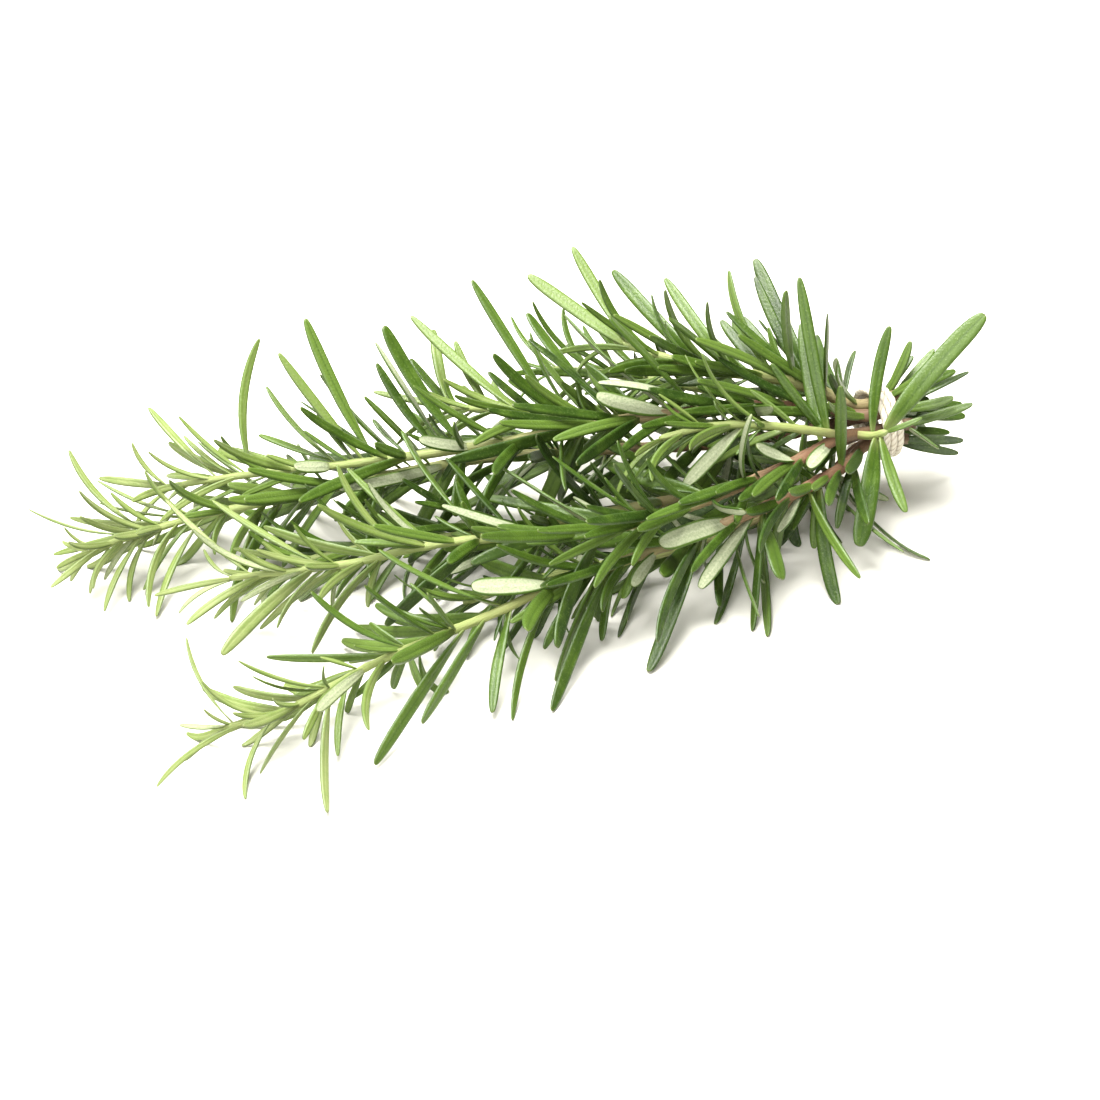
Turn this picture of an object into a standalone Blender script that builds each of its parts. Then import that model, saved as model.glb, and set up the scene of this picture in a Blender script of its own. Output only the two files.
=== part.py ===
"""Tied bunch of rosemary sprigs, lying on its front leaves.

Eight cut sprigs of woody stems with needle leaves, three of them with side shoots, are held near their cut
ends by turns of twine. +X runs to the cut ends, the tips point to -X, +Z is up, and the origin is at the
middle of the bunch's bounding box, on the surface it lies on. Growth is worked out in millimetres.
"""
import bpy
import bmesh
import numpy as np

for item in list(bpy.data.objects):
    bpy.data.objects.remove(item, do_unlink=True)

MM = 0.001
# From the growth frame to the middle of the bounding box, and down by what its weight flattens of the leaves
# that it lies on, millimetres
TO_CENTRE = np.array([-1.18, 2.76, -0.3])

# The tie: its middle, the ring on which the stems pass through it, and the twine
TIE = np.array([76.0, 1.0, 17.0])
SLOT_RING = 4.6
TWINE = 1.4
TWINE_PITCH = 1.5
TWINE_TURNS = 3
TWINE_RING = 7.1
KNOT_ANGLE = -35.0

# Stems: radius at the cut, at the foot of a side shoot and at the tip, and how far they spread past the tie
STEM_BASE = 1.25
SHOOT_BASE = 0.9
STEM_TIP = 0.6
SPREAD = 0.12
WOODY = 18.0

# Leaves: half of a blade's thickness, clear gap to other sprigs, height kept over the surface
HALF_THICK = 0.5
GAP = 0.35
FLOOR_CLEAR = 0.6
FLOOR_SOFT = 1.0
LIGHT = np.array([0.0, -0.5, 0.87])
# Distances from the tip back to the leaf pairs grow like this
INTERNODES = [2.0, 3.5, 4.5, 5.5, 6.5, 8.0, 9.5, 10.5, 11.5, 12.0]
TRIES = 24
STEPS = 12

# Each sprig: its place round the tie in degrees (0 to the front, 90 up), where it is cut, the roll of its first
# leaf pair, its way from the tie to the tip, and its leaves that stand out. Such a leaf has its distance from the
# cut end, its roll round the stem (0 up, 90 to the back), its opening from the stem, its bend, its length and its
# width, and -1 at the end where it shows its underside. Leaves lie over the stem as far as it is covered.
SPRIGS = {
    "sprig_upper": dict(
        slot=60, cut=82, covered=75, phase=20,
        route=[(60, 3, 23), (46, 5, 25), (33, 6, 26), (20, 8, 26), (1, 10, 25), (-13, 14, 23),
               (-31, 21, 20), (-42, 26, 18), (-54, 31, 16), (-66, 35, 14)],
        noted=[(2, 156, 160, 0, 14, 2.2), (2.5, 126, 130, 0, 7, 2.2),
               (52, -5, 15, 10, 17, 4.2, -1), (63, 60, 60, 12, 30, 3.8), (93, -40, 45, 10, 14, 3.4, -1),
               (99, 35, 55, 15, 22, 2.4), (112, 30, 65, 12, 32, 3), (114, 25, 55, 8, 28, 2.4),
               (119, 70, 30, 0, 20, 2.8), (121, -55, 60, 0, 11, 3.4, -1), (129, 85, 30, 0, 19, 3.2),
               (137, 45, 75, 45, 29, 2.2), (144, 65, 50, 10, 24, 2.4), (154, 30, 35, 50, 12, 1.3),
               (154, 80, 20, 5, 16, 2)]),
    "sprig_far_left": dict(
        slot=195, cut=83, phase=50,
        route=[(60, 7, 14.5), (45, 10, 13.5), (28, 14, 14), (3, 19, 15), (-11, 21, 15), (-24, 23, 14),
               (-40, 25, 12), (-59, 27, 11), (-71, 27, 10), (-84, 26, 9)],
        noted=[(2, -102, 154, 0, 16, 2.8), (2.5, -92, 139, 0, 10, 2), (3, -113, 127, 0, 9, 1.8),
               (133, -115, 55, 20, 29, 2.2), (157, 55, 45, 45, 24, 2.2), (158, -125, 30, 30, 19, 1.6),
               (165, -140, 30, 35, 11, 1.3), (167, -90, 25, 5, 15, 1.5), (170, 95, 45, 40, 8, 1.2)]),
    "sprig_middle": dict(
        slot=15, cut=81.5, covered=90, phase=-12,
        route=[(63, -6.5, 20.5), (50, -11.5, 20.5), (28, -17, 20), (11, -19, 20), (-2, -16, 19),
               (-16, -10, 18), (-27, -6, 16), (-38, -5, 15), (-50, -2, 14), (-62, 3, 12)],
        noted=[(1.5, 105, 131, 0, 8, 2),
               (22, 30, 100, 5, 34, 2.8), (22, -65, 20, 0, 12, 3.4, -1), (24, 50, 115, 5, 27, 3),
               (32, 5, 30, 15, 13, 3.4, -1), (34, -150, 65, 15, 23, 2.6), (70, 95, 45, 8, 35, 2.6),
               (74, -30, 10, 0, 20, 3), (90, -35, 25, 5, 14, 2), (110, 50, 45, 12, 24, 2),
               (132, 50, 35, 8, 26, 2), (134, -105, 35, 20, 27, 3), (144, -90, 30, 35, 20, 1.9),
               (146, 45, 40, 12, 24, 1.6), (150, -65, 15, 40, 17, 1.5)]),
    "sprig_lowest": dict(
        slot=330, cut=80.5, covered=84, phase=35,
        route=[(64, -9, 15.5), (56, -13.5, 16.5), (48, -17, 17), (33, -20, 16), (16, -21, 14),
               (-4, -22, 12), (-17, -25, 11), (-34, -28, 10), (-45, -30, 9), (-55, -33, 8), (-64, -35, 7),
               (-75, -35, 6.5)],
        noted=[(14, -160, 15, 20, 19, 2.2), (44, -100, 65, 0, 19, 4.6), (46, -140, 25, 5, 20, 3.4, -1),
               (52, 40, 10, 0, 19, 4.8, -1), (58, -125, 45, 0, 32, 3.4), (68, -100, 30, 10, 11, 3.2, -1),
               (78, -115, 45, 5, 35, 3), (90, -115, 35, 25, 32, 2), (90, 10, 20, 0, 18, 4.4, -1),
               (100, -120, 40, 15, 24, 2.6), (110, -115, 30, 5, 37, 3), (120, -125, 65, 110, 15, 2.2),
               (136, -120, 35, 25, 17, 1.7), (140, -105, 45, 15, 30, 2.2), (150, 95, 40, 40, 20, 2.2),
               (158, -90, 10, 45, 25, 1.3), (160, 65, 60, 40, 21, 1.3)]),
    "sprig_back_top": dict(
        slot=105, cut=82.5, covered=46, phase=0,
        route=[(64, 6, 24.5), (56, 8.5, 27.5), (47, 11, 29.5), (41, 14, 31), (34, 19, 32), (28, 27, 32)],
        noted=[(2, 139, 137, 5, 9, 2.4), (2.5, 129, 166, 5, 16, 2.6),
               (21, 65, 55, 8, 32, 3.4), (22, 65, 50, 15, 27, 2.4), (25, 85, 60, 5, 21, 2.2),
               (31, 80, 60, 5, 18, 2.6), (38, 75, 55, 8, 28, 2.8), (45, 80, 40, 8, 32, 3.2),
               (60, 35, 35, 5, 26, 2.8), (61, -5, 20, 5, 26, 3.4)]),
    "sprig_back_low": dict(
        slot=150, cut=82.5, phase=34,
        route=[(62, 9.5, 18.5), (50, 15, 21), (40, 22, 22), (29, 32, 21), (20, 41, 19)],
        noted=[(2, 129, 165, 5, 8, 2), (2.5, -161, 151, 0, 12, 2.4),
               (9, 70, 90, 8, 22, 3.6), (9, 55, 135, -20, 23, 2.6)]),
    "sprig_under_back": dict(
        slot=240, cut=82, phase=15,
        route=[(62, 4, 9.5), (44, 3, 7.5), (20, 4, 7), (-5, 6, 7), (-30, 10, 7), (-44, 11, 6.5)],
        noted=[]),
    "sprig_under_front": dict(
        slot=285, cut=81, phase=60,
        route=[(62, -4, 9.5), (44, -10, 8), (22, -13, 7), (0, -12, 7), (-20, -14, 6.5)],
        noted=[]),
}
# Side shoots leave their sprig's axis and are one with it
SHOOTS = {
    "upper_shoot": dict(
        sprig="sprig_upper", phase=70,
        route=[(20, 8, 26), (14, 10, 27), (6, 14, 27.5), (-1, 20, 26.5), (-8, 26, 25)],
        noted=[(11, 40, 50, 4, 33, 2.8), (19, 30, 30, 8, 31, 2.6), (25, 25, 45, 20, 19, 2.2),
               (34, -35, 25, 0, 16, 1.8), (34, 60, 60, 12, 20, 2.6)]),
    "middle_shoot": dict(
        sprig="sprig_middle", phase=10,
        route=[(66, -5.7, 19.8), (56, -8, 25), (46, -7, 28), (36, -5, 29), (25, -4, 28)],
        noted=[(10, 100, 75, 5, 19, 2.6), (16, 105, 55, 5, 35, 2.4), (26, -160, 45, 5, 17, 3.4, -1)]),
    "front_shoot": dict(
        sprig="sprig_middle", phase=-60,
        route=[(68, -4.8, 19.2), (70, -8, 20.5), (72, -10.5, 22.5)],
        noted=[(4, -40, 95, -25, 23, 2.8), (5, 130, 90, 10, 24, 4.4), (6, 140, 80, -10, 18, 2.8),
               (7, -65, 60, -15, 32, 4.6)]),
}


def unit(v):
    return v / np.linalg.norm(v, axis=-1, keepdims=True)


def smooth_line(points, step=1.0):
    """Cubic spans whose slopes follow the neighbouring points, cut into even steps: points, and run at each."""
    p = np.asarray(points, float)
    slope = np.gradient(p, axis=0)
    u = np.linspace(0, 1, 24, endpoint=False)[:, None]
    start = 2 * u**3 - 3 * u**2 + 1
    leave = u**3 - 2 * u**2 + u
    arrive = u**3 - u**2
    spans = []
    for k in range(len(p) - 1):
        spans.append(start * p[k] + leave * slope[k] + (1 - start) * p[k + 1] + arrive * slope[k + 1])
    fine = np.concatenate(spans + [p[-1:]])
    run = np.concatenate([[0], np.cumsum(np.linalg.norm(np.diff(fine, axis=0), axis=1))])
    at = np.linspace(0, run[-1], int(round(run[-1] / step)) + 1)
    return np.stack([np.interp(at, run, fine[:, k]) for k in range(3)], 1), at


class Stem:
    """A sprig's stem or a side shoot: its line from the foot to the tip, with radii and directions along it."""

    def __init__(self, name, node, route, base, phase, noted, covered=0):
        self.name = name
        self.node = node
        self.phase = phase
        self.noted = noted
        self.covered = covered
        self.line, self.run = smooth_line(route)
        self.length = self.run[-1]
        self.main = base == STEM_BASE
        woody = WOODY if self.main else 0.0
        thinning = 1 - np.clip((self.run - woody) / (self.length - woody), 0, 1) ** 1.3
        self.radius = STEM_TIP + (base - STEM_TIP) * thinning
        self.along = unit(np.gradient(self.line, axis=0))
        self.up = unit(np.array([0.0, 0.0, 1.0]) - self.along[:, 2:] * self.along)
        self.back = np.cross(self.along, self.up)

    def at(self, run, values):
        return np.array([np.interp(run, self.run, values[:, k]) for k in range(3)])


def all_stems():
    stems = []
    for name, sprig in SPRIGS.items():
        a = np.radians(sprig["slot"])
        y = TIE[1] - SLOT_RING * np.cos(a)
        z = TIE[2] + SLOT_RING * np.sin(a)
        spread = SPREAD * (sprig["cut"] - TIE[0])
        cut = (sprig["cut"], y - spread * np.cos(a), z + spread * np.sin(a))
        through = [cut, (TIE[0] + 2, y, z), (TIE[0] - 5, y, z)]
        stems.append(Stem(name, name, through + sprig["route"], STEM_BASE, sprig["phase"], sprig["noted"],
                          sprig.get("covered", 0)))
    for name, shoot in SHOOTS.items():
        stems.append(Stem(name, shoot["sprig"], shoot["route"], SHOOT_BASE, shoot["phase"], shoot["noted"]))
    return stems


def ring_point(angle, radius, x):
    """Point round the tie: 0 degrees to the back, 90 up."""
    a = np.radians(angle)
    return np.stack([x + 0 * a, TIE[1] + radius * np.cos(a), TIE[2] + radius * np.sin(a)], -1)


def twine_lines():
    """The coil, the two ends that cross over it to the knot, and the two cut tails."""
    turn = np.linspace(0, TWINE_TURNS, TWINE_TURNS * 14 + 1)
    half = TWINE_TURNS * TWINE_PITCH / 2
    coil = ring_point(KNOT_ANGLE + 40 + 360 * turn, TWINE_RING, TIE[0] - half + TWINE_PITCH * turn)
    s = np.linspace(0, 1, 6)
    rise = TWINE_RING + 1.35 * np.sin(np.pi / 2 * np.clip(1.6 * s, 0, 1))
    first = ring_point(KNOT_ANGLE + 40 - 40 * s, rise, TIE[0] - half * (1 - s))
    last = ring_point(KNOT_ANGLE + 40 - 40 * s + 18 * np.sin(np.pi * s), rise, TIE[0] + half * (1 - s))
    knot = ring_point(KNOT_ANGLE, TWINE_RING + 1.6, TIE[0])
    tails = []
    for lean, drop in ((2.6, -20), (-2.2, -14)):
        tails.append(np.stack([knot, ring_point(KNOT_ANGLE + 0.5 * drop, TWINE_RING + 2.6, TIE[0] + 0.6 * lean),
                               ring_point(KNOT_ANGLE + 1.3 * drop, TWINE_RING + 2.9, TIE[0] + 1.3 * lean),
                               ring_point(KNOT_ANGLE + 2.2 * drop, TWINE_RING + 2.4, TIE[0] + 2.0 * lean)]))
    return coil, first, last, knot, tails


def leaf_line(root, along, out, length, opening, bend, sway):
    """Leaf middles that leave the root at their opening and turn evenly by their bend, and their face side."""
    s = np.linspace(0, 1, STEPS + 1)
    angle = opening[:, None] + bend[:, None] * s
    aside = np.cross(along, out)
    way = np.cos(angle)[..., None] * along[:, None] + np.sin(angle)[..., None] * out[:, None]
    way = unit(way + np.tan(sway[:, None] * s)[..., None] * aside[:, None])
    step = (way[:, 1:] + way[:, :-1]) / 2 * (length / STEPS)[:, None, None]
    line = np.concatenate([np.zeros_like(way[:, :1]), np.cumsum(step, 1)], 1) + root[:, None]
    face = np.sin(angle)[..., None] * along[:, None] - np.cos(angle)[..., None] * out[:, None]
    return line, face


def laid_on_floor(line):
    """Bends up what would pass below the surface, so that it lies along it."""
    z = line[..., 2] - FLOOR_CLEAR
    line = line.copy()
    line[..., 2] = FLOOR_CLEAR + (z + np.sqrt(z * z + FLOOR_SOFT**2)) / 2 - 0.15
    return line


def turned_to_light(line, face, share, side):
    """Blade directions and faces, each turned about its own line to show one broad side to the light: its upper
    side, or where side is -1 its underside."""
    way = unit(np.gradient(line, axis=-2))
    face = unit(face - (face * way).sum(-1, keepdims=True) * way)
    edge = np.cross(way, face)
    a = face @ unit(LIGHT)
    b = edge @ unit(LIGHT)
    sign = np.sign(a.mean(-1, keepdims=True))
    turn = np.clip(np.arctan2(sign * b, sign * a), -0.95, 0.95) * share[..., None]
    turn = turn * np.clip(np.linspace(0, 1, STEPS + 1) / 0.45, 0, 1)
    shown = np.cos(turn)[..., None] * face + np.sin(turn)[..., None] * edge
    return way, side * sign[..., None] * shown


def blade_width(s, width):
    """Share of the full width: a narrow foot, nearly even edges and a blunt tip, drawn out on the narrow ones."""
    foot = 0.42 + 0.58 * np.clip(s / 0.28, 0, 1) ** 0.8
    start = np.clip(0.46 + 0.08 * width, 0.58, 0.78)
    tip = np.sqrt(np.clip(1 - np.clip((s - start) / (1 - start), 0, 1) ** 2.1, 0, 1))
    return foot * tip


def rails(line, way, face, width):
    """Left, middle and right line of each blade, each with a point more between every two."""
    off = np.cross(way, face) * (0.34 * width * blade_width(np.linspace(0, 1, STEPS + 1), width))[:, None]
    three = np.stack([line - off, line, line + off], -3)
    out = np.empty(three.shape[:-2] + (2 * STEPS + 1, 3))
    out[..., 0::2, :] = three
    out[..., 1::2, :] = (three[..., 1:, :] + three[..., :-1, :]) / 2
    return out


class Crowd:
    """What is in place already, as round-ended rods with an owner."""

    def __init__(self):
        self.a = np.zeros((0, 3))
        self.b = np.zeros((0, 3))
        self.r = np.zeros(0)
        self.owner = np.zeros(0, int)

    def add(self, line, radius, owner):
        self.a = np.concatenate([self.a, line[:-1]])
        self.b = np.concatenate([self.b, line[1:]])
        self.r = np.concatenate([self.r, np.broadcast_to(radius, len(line) - 1)])
        self.owner = np.concatenate([self.owner, np.full(len(line) - 1, owner)])

    def gaps(self, blades, owner):
        """For each blade the smallest gap to other owners, and beyond its foot to its own sprig."""
        points = blades.reshape(len(blades), -1, 3)
        low = points.min((0, 1)) - 3
        high = points.max((0, 1)) + 3
        near = ((np.minimum(self.a, self.b) < high) & (np.maximum(self.a, self.b) > low)).all(1)
        found = []
        for own in (False, True):
            pick = near & ((self.owner == owner) == own)
            if not pick.any():
                found.append(np.full(len(blades), 9.0))
                continue
            a = self.a[pick]
            ab = self.b[pick] - a
            ap = points[:, :, None] - a
            t = np.clip((ap * ab).sum(-1) / ((ab * ab).sum(-1) + 1e-9), 0, 1)
            gap = np.linalg.norm(ap - t[..., None] * ab, axis=-1) - self.r[pick] - HALF_THICK
            gap = gap.min(2).reshape(len(blades), 3, -1)
            found.append(gap[:, :, 7 if own else 0:].min((1, 2)))
        return found


def pair_rule(stem, rng, small):
    """Leaves that the stem carries by rule: crossed pairs, closer and younger to the tip. The second set are the
    smaller leaves beside them. Rows are like those of the leaves that stand out."""
    rows = []
    back = INTERNODES[0]
    k = 0
    while stem.length - back > (3 if stem.main else 4):
        run = stem.length - back
        x = stem.at(run, stem.line)[0]
        grown = np.clip(back / 55, 0, 1)
        near_tie = np.clip(1 - (run - WOODY) / 30, 0, 1) if stem.main else 0.0
        lean = 28 if k % 2 else -28
        sides = [lean, 180 - lean] if small else [0, 180]
        for side in sides:
            u = rng.uniform(-1, 1, 6)
            share = 0.55 + 0.15 * u[5] if small else 1.0
            length = (15 + 13 * grown**0.8) * (1 + 0.16 * u[1]) * share
            width = (1.5 + 1.7 * grown) * (1 + 0.2 * u[2]) * (0.8 if small else 1.0)
            opening = 9 + 39 * grown + 20 * near_tie + 10 * u[3] + (8 if small else 0)
            bend = 54 - 42 * grown + 14 * u[4]
            if abs(x - TIE[0]) < 4.5:
                continue
            if x > TIE[0]:
                opening = 130 + 15 * u[3]
                bend = 10 * u[4]
                length = 0.6 * length
            roll = (stem.phase + 90 * k + side + 14 * u[0] + 180) % 360 - 180
            rows.append((run, roll, opening, bend, length, width))
        back += INTERNODES[min(k + 1, len(INTERNODES) - 1)]
        k += 1
    return rows


def cover_rule(stem, rng, step, fan):
    """Leaves that lie along the upper front of a stem and hide it. Rows are like the others."""
    rows = []
    for run in np.arange(11.0, stem.covered, step):
        u = rng.uniform(-1, 1, 6)
        rows.append((run + u[0], -52 + fan * u[1], 24 + 11 * u[2], 8 + 16 * u[3], 24 + 6 * u[4], 2.4 + 0.4 * u[5]))
    return rows


def place_leaf(stem, row, rng, crowd, noted):
    """First of some tries, each looser than the one before, that clears the other sprigs and the surface."""
    run, roll, opening, bend, length, width = row[:6]
    u = rng.uniform(-1, 1, (TRIES, 6))
    side = -1 if (len(row) > 6 if noted else u[0, 0] > 0.82) else 1
    loose = np.linspace(0, 1, TRIES)
    roll = np.radians(roll + 60 * loose * u[:, 0])
    opening = np.radians(opening + 25 * loose * u[:, 1])
    bend = np.radians(bend + 35 * loose * u[:, 2])
    sway = np.radians((4 + 30 * loose) * u[:, 3])
    length = length * (1 - 0.4 * loose * np.abs(u[:, 4]))
    share = np.full(TRIES, 1.0) if noted else 0.6 + 0.3 * u[:, 5]
    along = unit(stem.at(run, stem.along))
    up = unit(stem.at(run, stem.up))
    radius = np.interp(run, stem.run, stem.radius)
    out = np.cos(roll)[:, None] * up + np.sin(roll)[:, None] * np.cross(along, up)
    root = stem.at(run, stem.line) + 0.35 * radius * out
    line, face = leaf_line(root, np.broadcast_to(along, out.shape), out, length, opening, bend, sway)
    dip = line[..., 2].min(1)
    line = laid_on_floor(line)
    way, face = turned_to_light(line, face, share, side)
    blades = rails(line, way, face, width)
    for lot in (slice(0, 6), slice(6, TRIES)):
        other, own = crowd.gaps(blades[lot], stem.node)
        fits = (other > GAP) & (dip[lot] > -3.0)
        best = fits & (own > 0.15)
        if best.any() or (noted and lot.stop == TRIES and fits.any()):
            k = lot.start + int(np.argmax(best if best.any() else fits))
            for rail in blades[k]:
                crowd.add(rail[::4], HALF_THICK, stem.node)
            return dict(line=line[k], way=way[k], face=face[k], width=width, length=length[k],
                        bend=abs(bend[k]), node=stem.node, grown=(stem.length - run) / 55, run=run, stem=stem)
    return None


def all_leaves(stems):
    rng = np.random.default_rng(1)
    nodes = list(SPRIGS)
    crowd = Crowd()
    for stem in stems:
        stem.node = nodes.index(stem.node)
        crowd.add(stem.line[::3], stem.radius[:-1:3][:len(stem.line[::3]) - 1], stem.node)
        crowd.add(stem.line[-4:], stem.radius[-4:-1], stem.node)
    coil, first, last, knot, tails = twine_lines()
    for line in [coil, first, last] + tails:
        crowd.add(line, TWINE / 2, len(nodes))
    crowd.add(np.stack([knot, knot + 0.1]), 2.2, len(nodes))
    leaves = []
    for stem in stems:
        for row in stem.noted:
            leaves.append(place_leaf(stem, row, rng, crowd, True))
    for stem in stems:
        for row in cover_rule(stem, rng, 5.0, 32):
            leaves.append(place_leaf(stem, row, rng, crowd, False))
    orders = []
    for small in (False, True):
        lot = []
        for stem in stems:
            for k, row in enumerate(pair_rule(stem, rng, small)):
                taken = [n for n in stem.noted if abs(n[0] - row[0]) < 5
                         and abs((n[1] - row[1] + 180) % 360 - 180) < 50]
                if taken and not small:
                    continue
                if small and k % 2:
                    continue
                lot.append((stem, row))
        orders += [lot[k] for k in rng.permutation(len(lot))]
    for stem, row in orders:
        leaves.append(place_leaf(stem, row, rng, crowd, False))
    return [leaf for leaf in leaves if leaf is not None], crowd


def part_material(name, colour, roughness):
    material = bpy.data.materials.new(name)
    material.use_nodes = True
    shader = material.node_tree.nodes["Principled BSDF"]
    shader.inputs["Base Color"].default_value = (*colour, 1.0)
    shader.inputs["Roughness"].default_value = roughness
    shader.inputs["Metallic"].default_value = 0.0
    return material


def place_points(points):
    return (np.asarray(points) + TO_CENTRE) * MM


def rod(name, line, radii, sides, home):
    """Round rod along a line, by a curve with a bevel and filled ends."""
    curve = bpy.data.curves.new(name, "CURVE")
    curve.dimensions = "3D"
    curve.bevel_depth = MM
    curve.bevel_resolution = sides // 2 - 2
    curve.use_fill_caps = True
    spline = curve.splines.new("POLY")
    spline.points.add(len(line) - 1)
    for point, place, radius in zip(spline.points, place_points(line), np.broadcast_to(radii, len(line))):
        point.co = (*place, 1.0)
        point.radius = radius
    holder = bpy.data.objects.new(name, curve)
    bpy.context.scene.collection.objects.link(holder)
    bpy.context.view_layer.update()
    mesh = bpy.data.meshes.new_from_object(holder.evaluated_get(bpy.context.evaluated_depsgraph_get()))
    bpy.data.objects.remove(holder, do_unlink=True)
    return solid(name, mesh, home)


def solid(name, mesh, home):
    """Joins double points, turns the faces outward and links the object to its collection."""
    work = bmesh.new()
    work.from_mesh(mesh)
    bmesh.ops.remove_doubles(work, verts=work.verts, dist=0.00001)
    bmesh.ops.recalc_face_normals(work, faces=work.faces)
    work.to_mesh(mesh)
    work.free()
    item = bpy.data.objects.new(name, mesh)
    home.objects.link(item)
    return item


def blade(name, leaf, home):
    """Leaf solid: three-sided sections lofted from the foot inside the stem to the point of the tip."""
    if leaf["bend"] > 0.55:
        shares = [0.0, 0.22, 0.45, 0.7, 0.92]
    elif leaf["length"] < 15:
        shares = [0.0, 0.35, 0.88]
    else:
        shares = [0.0, 0.28, 0.66, 0.92]
    s = np.linspace(0, 1, STEPS + 1)
    shares = np.array(shares + [1.0])
    middle = np.stack([np.interp(shares, s, leaf["line"][:, k]) for k in range(3)], 1)
    face = unit(np.stack([np.interp(shares, s, leaf["face"][:, k]) for k in range(3)], 1))
    way = unit(np.stack([np.interp(shares, s, leaf["way"][:, k]) for k in range(3)], 1))
    edge = np.cross(way, face)
    half = blade_width(shares, leaf["width"])[:, None] * leaf["width"] / 2
    thick = HALF_THICK * np.clip(half / 0.5, 0.6, 1)
    corners = np.stack([middle - edge * half + 0.55 * face * thick, middle + edge * half + 0.55 * face * thick,
                        middle - 1.15 * face * thick], 1)[:-1]
    corners[..., 2] = np.maximum(corners[..., 2], 0.0)
    tip = middle[-1:]
    tip[:, 2] = np.maximum(tip[:, 2], 0.1)
    verts = place_points(np.concatenate([corners.reshape(-1, 3), tip]))
    faces = [(0, 1, 2)]
    for ring in range(len(corners) - 1):
        for k in range(3):
            low = 3 * ring
            faces.append((low + k, low + (k + 1) % 3, low + 3 + (k + 1) % 3, low + 3 + k))
    end = 3 * (len(corners) - 1)
    for k in range(3):
        faces.append((end + k, end + (k + 1) % 3, len(verts) - 1))
    mesh = bpy.data.meshes.new(name)
    mesh.from_pydata(verts.tolist(), [], faces)
    return solid(name, mesh, home)


def main_body(mesh):
    """Keeps the largest connected body of a mesh, without the crumbs that a union leaves at a near touch."""
    work = bmesh.new()
    work.from_mesh(mesh)
    left = set(work.verts)
    bodies = []
    while left:
        body = {left.pop()}
        edge = list(body)
        while edge:
            vert = edge.pop()
            for link in vert.link_edges:
                other = link.other_vert(vert)
                if other in left:
                    left.remove(other)
                    body.add(other)
                    edge.append(other)
        bodies.append(body)
    bodies.sort(key=len)
    for body in bodies[:-1]:
        bmesh.ops.delete(work, geom=list(body), context="VERTS")
    work.to_mesh(mesh)
    work.free()


def join_all(target, pieces, solver):
    """One Boolean union on a collection joins the pieces to the target."""
    union = target.modifiers.new("union", "BOOLEAN")
    union.operation = "UNION"
    union.operand_type = "COLLECTION"
    union.collection = pieces
    union.solver = solver
    bpy.context.view_layer.update()
    mesh = bpy.data.meshes.new_from_object(target.evaluated_get(bpy.context.evaluated_depsgraph_get()))
    target.modifiers.remove(union)
    main_body(mesh)
    target.data = mesh
    for item in list(pieces.objects):
        bpy.data.objects.remove(item, do_unlink=True)


def flatten_below(target, floor):
    """Cuts off what the surface presses flat."""
    cut = target.modifiers.new("floor", "BOOLEAN")
    cut.operation = "DIFFERENCE"
    cut.object = floor
    cut.solver = "MANIFOLD"
    bpy.context.view_layer.update()
    mesh = bpy.data.meshes.new_from_object(target.evaluated_get(bpy.context.evaluated_depsgraph_get()))
    target.modifiers.remove(cut)
    main_body(mesh)
    target.data = mesh


def new_collection(name):
    made = bpy.data.collections.new(name)
    bpy.context.scene.collection.children.link(made)
    return made


bunch = new_collection("rosemary_bunch")
stems = all_stems()
leaves, crowd = all_leaves(stems)

# The surface that the bunch lies on, as a cutter
cutters = new_collection("cutters")
bpy.ops.mesh.primitive_cube_add(size=1.0, location=(0.0, 0.0, -0.005))
floor = bpy.context.object
floor.name = "floor_cutter"
floor.scale = (0.3, 0.2, 0.01)
floor.hide_render = True
for holder in list(floor.users_collection):
    holder.objects.unlink(floor)
cutters.objects.link(floor)

# Sprigs: each is one woody stem with its side shoots and leaves grown on it
for node, name in enumerate(SPRIGS):
    growth = new_collection(name + "_growth")
    sprig = None
    for stem in [s for s in stems if s.node == node]:
        count = max(3, int(round(stem.length / 8.8)))
        at = np.linspace(0, stem.length, count)
        line = np.stack([stem.at(run, stem.line) for run in at])
        made = rod(stem.name, line, np.interp(at, stem.run, stem.radius), 6,
                   bunch if stem.main else growth)
        sprig = made if stem.main else sprig
    for k, leaf in enumerate([one for one in leaves if one["node"] == node]):
        blade(name + "_leaf_" + str(k), leaf, growth)
    join_all(sprig, growth, "MANIFOLD")
    flatten_below(sprig, floor)
    sprig.data.materials.clear()
    sprig.data.materials.append(part_material(name, (0.10, 0.22, 0.05), 0.55))

# Twine tie: turns of cotton twine round the stems, its ends crossed over the turns and knotted at the back
coil, first, last, knot, tails = twine_lines()
tie_parts = new_collection("twine_tie_parts")
tie = rod("twine_tie", coil, TWINE / 2, 6, bunch)
for name, line in (("first_end", first), ("last_end", last), ("first_tail", tails[0]), ("last_tail", tails[1])):
    rod(name, line, TWINE / 2, 6, tie_parts)
for turned in (0.35, 1.25):
    bpy.ops.mesh.primitive_torus_add(
        major_segments=12, minor_segments=6, major_radius=1.05 * MM, minor_radius=0.75 * MM,
        location=place_points(knot), rotation=(turned, 1.1, np.radians(KNOT_ANGLE)))
    loop = bpy.context.object
    for holder in list(loop.users_collection):
        holder.objects.unlink(loop)
    tie_parts.objects.link(loop)
join_all(tie, tie_parts, "MANIFOLD")
tie.data.materials.clear()
tie.data.materials.append(part_material("twine_tie", (0.80, 0.74, 0.60), 0.85))
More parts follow.
